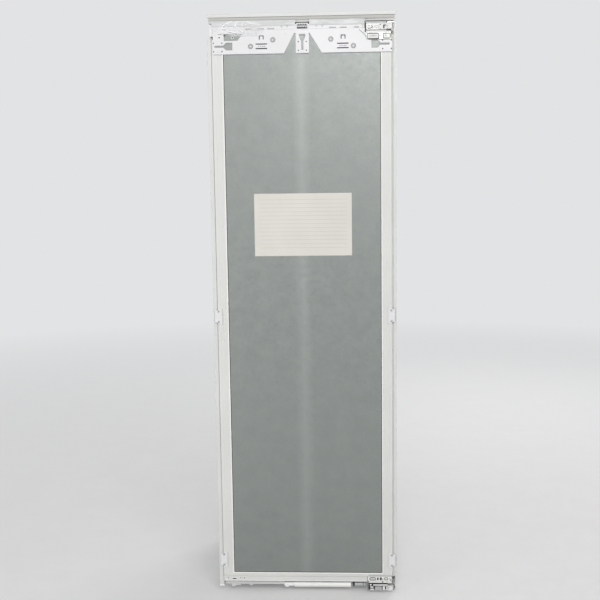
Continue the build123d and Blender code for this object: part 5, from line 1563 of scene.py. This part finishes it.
    def trim_film(self) -> None:
        """Film that is still stretched from the plate up to the cabinet's trim, in long folds."""
        folds = bpy.data.textures.new("trim_folds", "CLOUDS")
        folds.noise_scale = 0.012
        low, high = self.band_z
        slope = math.atan2(self.band_y[1] - self.band_y[0], high - low)
        sheets = []
        for left, right in self.band_spans:
            self.bench.clear()
            bpy.ops.mesh.primitive_grid_add(x_subdivisions=60, y_subdivisions=16, size=1,
                                            rotation=(math.radians(90), 0, 0))
            sheet = bpy.context.object
            sheet.name = "trim_film"
            sheet.scale = ((right - left) * MM / self.fold_stretch, (high - low) * MM / math.cos(slope), 1)
            self.bench.settle(sheet)
            self.bench.modify(sheet, "DISPLACE", texture=folds, strength=0.0022, mid_level=0.5)
            sheet.scale = (self.fold_stretch, 1, 1)
            sheet.rotation_euler = (-slope, 0, 0)
            sheet.location = Vector(((left + right) / 2, sum(self.band_y) / 2, (low + high) / 2)) * MM
            self.bench.settle(sheet)
            self.bench.modify(sheet, "SOLIDIFY", thickness=0.00006)
            sheets.append(sheet)
        self.give(self.bench.smooth(self.bench.merge("trim_film", sheets), 70), "door", BAND_FILM)


@dataclass
class Hinge(Assembly):
    """What both folding hinges have.

    Heights are measured from the hinge's base, upwards at the top and downwards at the bottom.
    """

    end: str = "top"
    base: float = 1709.0
    way: int = 1
    front: float = -271.4
    left: float = 190.0
    right: float = 262.0
    face_right: float = 249.0
    box_right: float = 268.0
    box_low: float = 11.8
    box_depth: float = 1.5
    face_high: float = 28.0
    border: float = 1.8
    bar_heights: Span = (0.4, 5.8)
    bar_end: float = 4.0
    rim_low: float = 8.0
    dark_side_steps: tuple[Span, ...] = ((16.5, 25.0), (11.5, 15.9), (7.8, 11.0), (2.3, 6.7))
    dark_side_width: float = 3.6
    dark_side_depths: Span = (0.6, 2.9)
    ground_heights: Span = (-16.5, -0.3)
    ground_depths: Span = (2.2, 2.8)
    return_x: Span = (272.6, 277.6)
    return_front: float = -232.0
    # Painted highlight: the raised rims and bars take a paler copy of the hinge's steel.
    bright: Finish = HINGE_HIGHLIGHT_PALE
    dark_side_finish: Finish = BLACK_PLASTIC
    ground_finish: Finish = WHITE_ENAMEL

    def build(self) -> None:
        """Dress the hinge's plates and links and add its pressed details."""
        self.dress(f"hinge_door_plate_{self.end}", HINGE_STEEL, 0.3)
        self.dress(f"hinge_cabinet_plate_{self.end}", HINGE_STEEL, 0.3)
        self.dress(f"hinge_long_arm_{self.end}", ARM_STEEL, 0.3)
        self.dress(f"hinge_short_arm_{self.end}", ARM_STEEL, 0.3)
        self.shared()
        self.dark_side()
        self.backing()
        self.details()

    def details(self) -> None:
        """Add the pieces that only this hinge has."""

    def span(self, low: float, high: float) -> Span:
        """Two heights of the hinge as the lower and the upper one, in mm."""
        ends = (self.base + self.way * low, self.base + self.way * high)
        return min(ends), max(ends)

    def slab(self, name: str, sides: Span, heights: Span, depths: Span, corner: float = 0.0) -> Piece:
        """A block given by the hinge's own heights.

        Args:
            name: The piece's name.
            sides: Its left and right ends, in mm.
            heights: Its two heights from the hinge's base, in mm.
            depths: Its front and back, in mm.
            corner: The radius of its corners, in mm, or 0.

        Returns:
            The piece.
        """
        low, high = self.span(*heights)
        corners = ((sides[0], depths[0], low), (sides[1], depths[1], high))
        return self.bench.plate(name, *corners, corner) if corner > 0 else self.bench.block(name, *corners)

    def rim(self, name: str, sides: Span, heights: Span, depths: Span, border: float,
            corner: float) -> Piece:
        """A flat frame given by the hinge's own heights.

        Args:
            name: The piece's name.
            sides: Its left and right ends, in mm.
            heights: Its two heights from the hinge's base, in mm.
            depths: Its front and back, in mm.
            border: The width of its border, in mm.
            corner: The radius of its corners, in mm.

        Returns:
            The piece.
        """
        low, high = self.span(*heights)
        corners = ((sides[0], depths[0], low), (sides[1], depths[1], high))
        return self.bench.frame(name, *corners, border, corner)

    def raised(self, name: str, bars: Sequence[Bar], finish: Finish, proud: float = 1.2) -> None:
        """Raised bars and pads that stand on the hinge's front.

        Args:
            name: The name of the merged piece.
            bars: The sides, the heights and the corner radius of each bar.
            finish: Their finish.
            proud: How far they stand out, in mm.
        """
        depths = (self.front - proud, self.front)
        pieces = [self.slab("bar", sides, heights, depths, corner) for sides, heights, corner in bars]
        pieces = [self.bench.soften(piece, 0.25, 2) for piece in pieces]
        self.give(self.bench.merge(f"{name}_{self.end}", pieces), "door", finish)

    def lines(self, name: str, gaps: Sequence[Gap], routes: Sequence[tuple], rims: Sequence[Outline],
              finish: Finish) -> None:
        """Gaps, lines and outlines drawn flat on the hinge's front in one colour, mostly painted shade in
        its slots, along its edges and between its ribs, and some grey marks.

        Args:
            name: The name of the merged piece.
            gaps: The sides and the heights of each gap.
            routes: The radius of each line and its points as x and height.
            rims: The sides, the heights, the width and the corner radius of each outline.
            finish: Their finish.
        """
        thin = (self.front - 0.9, self.front)
        pieces = [self.slab("gap", sides, heights, thin) for sides, heights in gaps]
        for radius, *route in routes:
            points = [(x, self.front - 0.5, self.span(level, level)[0]) for x, level in route]
            pieces.append(self.bench.wire("line", points, radius, False))
        for sides, heights, border, corner in rims:
            pieces.append(self.rim("outline", sides, heights, thin, border, corner))
        self.give(self.bench.merge(f"{name}_{self.end}", pieces), "door", finish)

    def shared(self) -> None:
        """The raised box and the bars that both hinges have."""
        high = self.face_high
        right = self.box_right
        left = self.left + 0.5
        floor = self.box_low + 0.4
        box = self.slab("box", (self.face_right - 1, right), (self.box_low, high),
                        (self.front, self.front + self.box_depth))
        self.give(self.bench.soften(box, 0.25, 2), "door", HINGE_STEEL)
        self.raised("hinge_rim", (
            ((left, right), (high - self.border, high), 0),
            ((left, left + 1.7), (self.rim_low, high), 0),
            ((left, self.face_right), (self.rim_low, self.rim_low + 1.6), 0),
            ((right - 3.2, right - 1.5), (floor, high), 0),
            ((self.face_right, right), (floor, floor + 1.6), 0)), self.bright)
        low, top = self.bar_heights
        self.raised("hinge_bar", (((self.left, self.face_right), (low, top), 0.8),
                                  ((self.face_right - 1, self.right), (low, min(top, self.bar_end)), 0.8)),
                    self.bright, 1.3)
        # Painted shade: a dark strip down the box's right edge and in the gap under the bars.
        edge = self.slab("box_edge", (right - 1.3, right), (self.box_low, high - 0.4),
                         (self.front - 1.0, self.front))
        foot = self.slab("foot_gap", (self.left, self.face_right), (top + 0.3, self.rim_low - 0.2),
                         (self.front - 0.3, self.front))
        self.give(self.bench.merge(f"hinge_edge_shades_{self.end}", [edge, foot]), "door", DARK_PAINTED_SHADE)

    def dark_side(self) -> None:
        """Stepped dark side of the hinge's box."""
        sides = (self.left - self.dark_side_width, self.left)
        depths = (self.front + self.dark_side_depths[0], self.front + self.dark_side_depths[1])
        pieces = [self.slab("edge", sides, heights, depths) for heights in self.dark_side_steps]
        pieces = [self.bench.soften(piece, 0.2, 1) for piece in pieces]
        self.give(self.bench.merge(f"hinge_dark_side_{self.end}", pieces), "door", self.dark_side_finish)

    def backing(self) -> None:
        """Pale plate behind the apron's windows."""
        depths = (self.front + self.ground_depths[0], self.front + self.ground_depths[1])
        piece = self.slab(f"window_backing_{self.end}", (self.left + 1, self.right - 1),
                          self.ground_heights, depths)
        self.give(self.bench.soften(piece, 0.15, 1), "door", self.ground_finish)

    def side(self, name: str, heights: Span, back: float) -> None:
        """White return of the cabinet's side that shows beside the hinge, in the paler white of painted
        light.

        Args:
            name: The piece's name.
            heights: Its lower and upper end above the floor, in mm.
            back: Its rear face, in mm.
        """
        low, high = heights
        piece = self.bench.block(name, (self.return_x[0], self.return_front, low),
                                 (self.return_x[1], back, high))
        self.give(self.bench.soften(piece, 0.8, 2), "cabinet", PAINTED_LIGHT_WHITE)


@dataclass
class TopHinge(Hinge):
    """Top hinge with its latch, hook slot and framed windows."""

    face_pads: tuple[Bar, ...] = (((193.6, 264.0), (10.4, 25.6), 1.0),)
    window_pads: tuple[Bar, ...] = (((192.0, 228.2), (-18.2, -1.6), 3.6),
                                    ((238.6, 261.4), (-17.4, -1.6), 3.6))
    windows: tuple[Outline, ...] = (((192.2, 228.0), (-18.0, -1.8), 1.7, 3.5),
                                    ((238.8, 261.2), (-17.2, -1.8), 1.5, 3.5))
    latches: tuple[Bar, ...] = (((193.2, 202.0), (13.4, 17.6), 1.2), ((246.5, 251.0), (16.0, 19.0), 1.0))
    hook_slot: tuple[Gap, ...] = (((240.2, 243.5), (11.2, 21.7)), ((240.2, 248.0), (19.6, 21.7)))
    edges: tuple[tuple[float | Span, ...], ...] = (
        (0.8, (196.0, 12.2), (203.6, 12.5), (209.8, 15.8), (205.6, 19.6)),
        (0.6, (196.5, 19.4), (200.5, 19.4)),
        (0.5, (246.4, 19.8), (250.6, 19.8)),
        (0.45, (196.0, -19.2), (226.0, -18.8)))
    marks: tuple[Gap, ...] = (((199.0, 222.0), (-9.8, -9.0)), ((209.0, 213.0), (-8.2, -7.4)),
                              ((246.0, 248.4), (-9.4, -7.6)), ((252.0, 254.4), (17.0, 18.8)))
    mark_rims: tuple[Outline, ...] = (((214.5, 228.5), (14.2, 19.8), 0.5, 2.4),)
    pin_x: float = 231.5
    pin_levels: Span = (22.5, 9.8)
    pin_radius: float = 1.5
    fill_x: Span = (174.0, 191.0)
    fill_z: Span = (1690.0, 1723.0)
    fill_depths: Span = (2.2, 2.9)
    head_x: Span = (188.0, 249.0)
    head_z: Span = (1737.9, 1741.0)
    head_depths: Span = (1.6, 3.2)
    slant: tuple[Span, ...] = ((169.8, 1718.4), (183.0, 1707.3), (196.2, 1689.9))
    return_z: Span = (1704.5, 1744.8)
    return_back: float = -227.0

    def details(self) -> None:
        """Add the latch, the hook slot, the framed windows and the fills round the hinge, of which the grey
        one over the hinge is painted shade.
        """
        # Painted highlight: the pads and latches are in the hinge's pale steel.
        self.raised("face_pad", self.face_pads, HINGE_HIGHLIGHT_PALE, 0.3)
        self.raised("window_pad", self.window_pads, HINGE_HIGHLIGHT_PALE, 0.3)
        self.raised("latch", self.latches, HINGE_HIGHLIGHT_PALE, 1.1)
        # Painted shade: the hook slot, the dark lines along edges and the windows' outlines.
        self.lines("hinge_line", self.hook_slot, self.edges, self.windows, DARK_PAINTED_SHADE)
        self.lines("hinge_mark", self.marks, (), self.mark_rims, PRINT_AND_SHADE_GREY)
        self.pins()
        self.filler("notch_fill", self.fill_x, self.fill_z, self.fill_depths, WHITE_ENAMEL)
        # Painted shade: a mid-grey plate in the gap over the hinge stands for its shade.
        self.filler("head_gap_shade", self.head_x, self.head_z, self.head_depths, BUTTON_GREY)
        self.slant_line()
        self.side("side_return", self.return_z, self.return_back)

    def pins(self) -> None:
        """Dark painted shade in the holes at the ends of the hinge's pins."""
        holes = []
        for level in self.pin_levels:
            z = self.base + level
            ends = ((self.pin_x, self.front - 0.9, z), (self.pin_x, self.front, z))
            holes.append(self.bench.drum("hole", *ends, self.pin_radius, 20))
        self.give(self.bench.merge("hinge_holes", holes), "door", DARK_PAINTED_SHADE)

    def filler(self, name: str, sides: Span, heights: Span, depths: Span, finish: Finish) -> None:
        """A thin plate behind the hinge's front, where the cut-outs round it show through.

        Args:
            name: The piece's name.
            sides: Its left and right ends, in mm.
            heights: Its lower and upper end above the floor, in mm.
            depths: Its faces behind the hinge's front, in mm.
            finish: Its finish.
        """
        piece = self.bench.block(name, (sides[0], self.front + depths[0], heights[0]),
                                 (sides[1], self.front + depths[1], heights[1]))
        self.give(self.bench.soften(piece, 0.1, 1), "door", finish)

    def slant_line(self) -> None:
        """Slanted edge of the plate that passes under the hinge."""
        route = [(x, self.front + 1.2, z) for x, z in self.slant]
        self.give(self.bench.wire("corner_line", route, 0.6, False), "door", PRINT_AND_SHADE_GREY)


@dataclass
class BottomHinge(Hinge):
    """Bottom hinge with its slots, bars, rounded ends and ribbed pad."""

    end: str = "bottom"
    base: float = 36.0
    way: int = -1
    bar_heights: Span = (-1.6, 3.2)
    rim_low: float = 25.9
    dark_side_steps: tuple[Span, ...] = ((1.6, 27.0),)
    bright: Finish = HINGE_HIGHLIGHT_BRIGHT
    # Painted shade: on the bottom hinge the dark side is a grey that stands for the shaded left side of its
    # box.
    dark_side_finish: Finish = PRINT_AND_SHADE_GREY
    ground_finish: Finish = FAN_GREY
    covers: tuple[Bar, ...] = (((187.6, 262.0), (-17.0, -2.6), 3.0),)
    bars: tuple[Bar, ...] = (((203.6, 249.0), (8.6, 12.4), 0.8), ((193.4, 199.0), (7.2, 12.0), 1.2),
                             ((194.6, 205.0), (15.0, 19.6), 2.0), ((194.6, 206.0), (22.4, 26.4), 1.8))
    pads: tuple[Bar, ...] = (((209.5, 230.5), (15.4, 25.8), 0.6),)
    faces: tuple[Bar, ...] = (((233.5, 264.0), (14.6, 25.8), 0.8),)
    rib_left: float = 210.6
    rib_width: float = 1.0
    rib_pitch: float = 2.2
    rib_count: int = 9
    rib_heights: Span = (16.0, 25.2)
    slots: tuple[Gap, ...] = (((216.2, 220.6), (-13.8, -5.6)), ((224.6, 230.4), (-13.8, -5.6)),
                              ((240.4, 244.0), (15.2, 24.4)), ((231.4, 232.6), (15.0, 25.8)),
                              ((194.0, 206.0), (20.2, 21.8)), ((207.0, 208.6), (14.6, 26.0)))
    edges: tuple[tuple[float | Span, ...], ...] = ((0.8, (254.5, -11.0), (259.5, -4.4)),
                                                   (0.6, (199.8, 7.0), (203.0, 12.2)))
    outlines: tuple[Outline, ...] = (((192.9, 212.0), (-14.3, -4.7), 1.7, 4.2),
                                     ((238.0, 250.3), (-14.0, -5.6), 1.6, 3.4),
                                     ((246.2, 251.2), (16.0, 23.8), 0.7, 1.8))
    marks: tuple[Gap, ...] = (((197.5, 207.5), (-10.2, -8.8)), ((253.5, 256.0), (17.0, 19.4)),
                              ((226.4, 228.6), (-11.4, -8.2)))
    screw_place: Span = (233.6, 35.6)
    return_z: Span = (4.0, 53.0)
    return_back: float = -204.6
    tail_low: tuple[float, float, float] = (264.5, -262.0, 51.0)
    tail_high: tuple[float, float, float] = (277.5, -246.0, 64.5)

    def details(self) -> None:
        """Add the cover with its slots, the bars, the ribbed pad, the screw and the strip's tail."""
        # Painted highlight: the cover, bars, pad and face are in paler copies of the hinge's steel.
        self.raised("lower_cover", self.covers, HINGE_HIGHLIGHT_BRIGHT, 0.4)
        self.raised("lower_bars", self.bars, HINGE_HIGHLIGHT_BRIGHT, 1.3)
        self.raised("lower_pad", self.pads, HINGE_HIGHLIGHT_PALE, 0.5)
        self.ribs()
        self.raised("lower_face", self.faces, HINGE_HIGHLIGHT_BRIGHT, 0.4)
        # Painted shade: the slots, the dark lines along edges and the outlines.
        self.lines("lower_line", self.slots, self.edges, self.outlines, DARK_PAINTED_SHADE)
        self.lines("lower_mark", self.marks, (), (), SHADE_AND_MARK_GREY)
        self.screw()
        self.side("side_foot", self.return_z, self.return_back)
        tail = self.bench.block("strip_tail", self.tail_low, self.tail_high)
        self.give(self.bench.soften(tail, 0.8, 2), "door", WHITE_TRIM)

    def ribs(self) -> None:
        """Fine upright ribs on the pad, drawn as grey lines of painted shade."""
        starts = [self.rib_left + self.rib_pitch * place for place in range(self.rib_count)]
        gaps = [((start, start + self.rib_width), self.rib_heights) for start in starts]
        self.lines("lower_ribs", gaps, (), (), SHADE_AND_MARK_GREY)

    def screw(self) -> None:
        """Screw in the cover, with dark painted shade in its slot."""
        x, z = self.screw_place
        head = self.bench.drum("screw", (x, self.front - 1.5, z), (x, self.front, z), 2.9, 28)
        self.give(self.bench.soften(head, 0.3, 2), "door", SCREW_STEEL)
        recess = self.bench.drum("screw_slot", (x, self.front - 1.55, z), (x, self.front - 1.4, z), 1.3, 16)
        self.give(recess, "door", DARK_PAINTED_SHADE)


@dataclass
class Damper(Assembly):
    """Soft-close damper under the door."""

    y: float = -253.0
    z: float = 21.0
    rings: tuple[float, ...] = (-41.5, 133.5)
    eye_x: float = -66.0
    sleeve_x: Span = (146.4, 172.6)
    knob_x: Span = (173.6, 180.8)
    collars_x: tuple[Span, ...] = ((141.0, 146.2), (172.4, 173.8))

    def build(self) -> None:
        """Dress the damper and add its end rings, eye, sleeve and knob."""
        # Painted light: the damper and its rings are in the paler white, to make up for the weaker light
        # near the floor.
        self.dress("damper_cylinder", PAINTED_LIGHT_WHITE, 0.6)
        self.dress("damper_rod", ROD_GREY, 0.4)
        self.dress("cabinet_screws", SCREW_STEEL, 0.0)
        rings = [self.along("end_ring", (x - 1.5, x + 1.5), 11.2) for x in self.rings]
        eye = self.bench.drum("tail_eye", (self.eye_x, self.y - 5.5, self.z - 1.2),
                              (self.eye_x, self.y + 5.5, self.z - 1.2), 8.6)
        pieces = [self.bench.soften(piece, 0.6, 3) for piece in rings + [eye]]
        self.give(self.bench.merge("damper_rings", pieces), "door", PAINTED_LIGHT_WHITE)
        sleeves = [self.bench.soften(self.along("sleeve", self.sleeve_x, 6.9), 0.6, 3),
                   self.bench.soften(self.along("knob", self.knob_x, 7.2), 1.4, 3)]
        self.give(self.bench.merge("rod_sleeves", sleeves), "damper_rod", ROD_GREY)
        collars = [self.along("collar", ends, 6.7) for ends in self.collars_x]
        self.give(self.bench.smooth(self.bench.merge("rod_collars", collars)), "damper_rod", BLACK_PLASTIC)

    def along(self, name: str, ends: Span, radius: float) -> Piece:
        """A round piece on the damper's axis.

        Args:
            name: The piece's name.
            ends: Its left and right end, in mm.
            radius: Its radius, in mm.

        Returns:
            The piece.
        """
        return self.bench.drum(name, (ends[0], self.y, self.z), (ends[1], self.y, self.z), radius)


@dataclass
class Studio:
    """Floor, lights and the camera."""

    focal_share: float = 1033.2 / 600
    eye: tuple[float, float, float] = (0.148, -3.3646, 1.3255)
    yaw: float = -2.982
    pitch: float = -7.38
    roll: float = -0.762
    floor_half: float = 12.0
    backdrop: Colour = tone(226, 227, 228)

    def build(self) -> None:
        """Set up the studio."""
        self.camera()
        self.floor()
        self.lights()
        bpy.context.scene.view_settings.view_transform = "Standard"

    def camera(self) -> None:
        """A camera at the photograph's viewing angle."""
        yaw, pitch, roll = (math.radians(angle) for angle in (self.yaw, self.pitch, self.roll))
        forward = Vector((math.sin(yaw) * math.cos(pitch), math.cos(yaw) * math.cos(pitch), math.sin(pitch)))
        right = Vector((math.cos(yaw), -math.sin(yaw), 0))
        up = right.cross(forward)
        tilted = right * math.cos(roll) + up * math.sin(roll)
        upright = up * math.cos(roll) - right * math.sin(roll)
        turn = Matrix((tilted, upright, -forward)).transposed().to_4x4()
        bpy.ops.object.camera_add()
        camera = bpy.context.object
        camera.name = "studio_camera"
        camera.matrix_world = Matrix.Translation(self.eye) @ turn
        camera.data.sensor_width = 36
        camera.data.lens = self.focal_share * camera.data.sensor_width
        bpy.context.scene.camera = camera

    def floor(self) -> None:
        """A plain pale floor."""
        bpy.ops.object.select_all(action="DESELECT")
        bpy.ops.mesh.primitive_plane_add(size=2 * self.floor_half)
        floor = bpy.context.object
        floor.name = "studio_floor"
        finish = FloorFinish("studio_floor_coat", "", tone(214, 213, 211), tone(210, 209, 207), 0.75,
                             grain_scale=60.0, grain_depth=0.0002, fade_colour=self.backdrop)
        floor.data.materials.append(finish.material())

    def lights(self) -> None:
        """Soft light from all round, with one large soft lamp high in front."""
        world = bpy.data.worlds.new("studio_world")
        world.use_nodes = True
        bpy.context.scene.world = world
        wires = Wiring(world.node_tree)
        background = world.node_tree.nodes["Background"]
        background.inputs["Color"].default_value = tone(236, 238, 240)
        background.inputs["Strength"].default_value = 0.64
        shown = wires.add("ShaderNodeBackground")
        shown.inputs["Color"].default_value = self.backdrop
        blend = wires.add("ShaderNodeMixShader")
        wires.join(wires.shown(), blend.inputs[0])
        wires.join(background.outputs[0], blend.inputs[1])
        wires.join(shown.outputs[0], blend.inputs[2])
        wires.join(blend.outputs[0], world.node_tree.nodes["World Output"].inputs[0])
        self.lamp("key_lamp", (0.9, -3.8, 3.2), (0.0, 0.0, 0.8), 2.6, 92.0)
        self.lamp("fill_lamp", (-2.4, -2.6, 0.9), (0.0, 0.0, 0.5), 1.8, 30.0)
        self.lamp("back_lamp", (1.4, 3.0, 2.6), (0.0, 0.0, 0.9), 2.0, 60.0)

    def lamp(self, name: str, place: Sequence[float], target: Sequence[float], size: float,
             power: float) -> None:
        """One square soft lamp.

        Args:
            name: The lamp's name.
            place: Where it hangs.
            target: The point that it faces.
            size: Its side.
            power: Its power in watts.
        """
        bpy.ops.object.light_add(type="AREA", location=place)
        lamp = bpy.context.object
        lamp.name = name
        lamp.data.size = size
        lamp.data.energy = power
        lamp.rotation_mode = "QUATERNION"
        lamp.rotation_quaternion = (Vector(target) - Vector(place)).to_track_quat("-Z", "Y")


def main() -> None:
    """Build the studio and every assembly in order."""
    logging.basicConfig(level=logging.INFO, format="%(message)s")
    bench = Bench()
    Studio().build()
    kinds = (Case, MachineBay, Interior, DoorInside, DoorFront, HangerPlate, TopHinge, BottomHinge, Damper)
    assemblies = [kind(bench) for kind in kinds]
    for assembly in assemblies:
        assembly.build()
        LOG.info("%s is built", type(assembly).__name__)


if __name__ == "__main__":
    main()
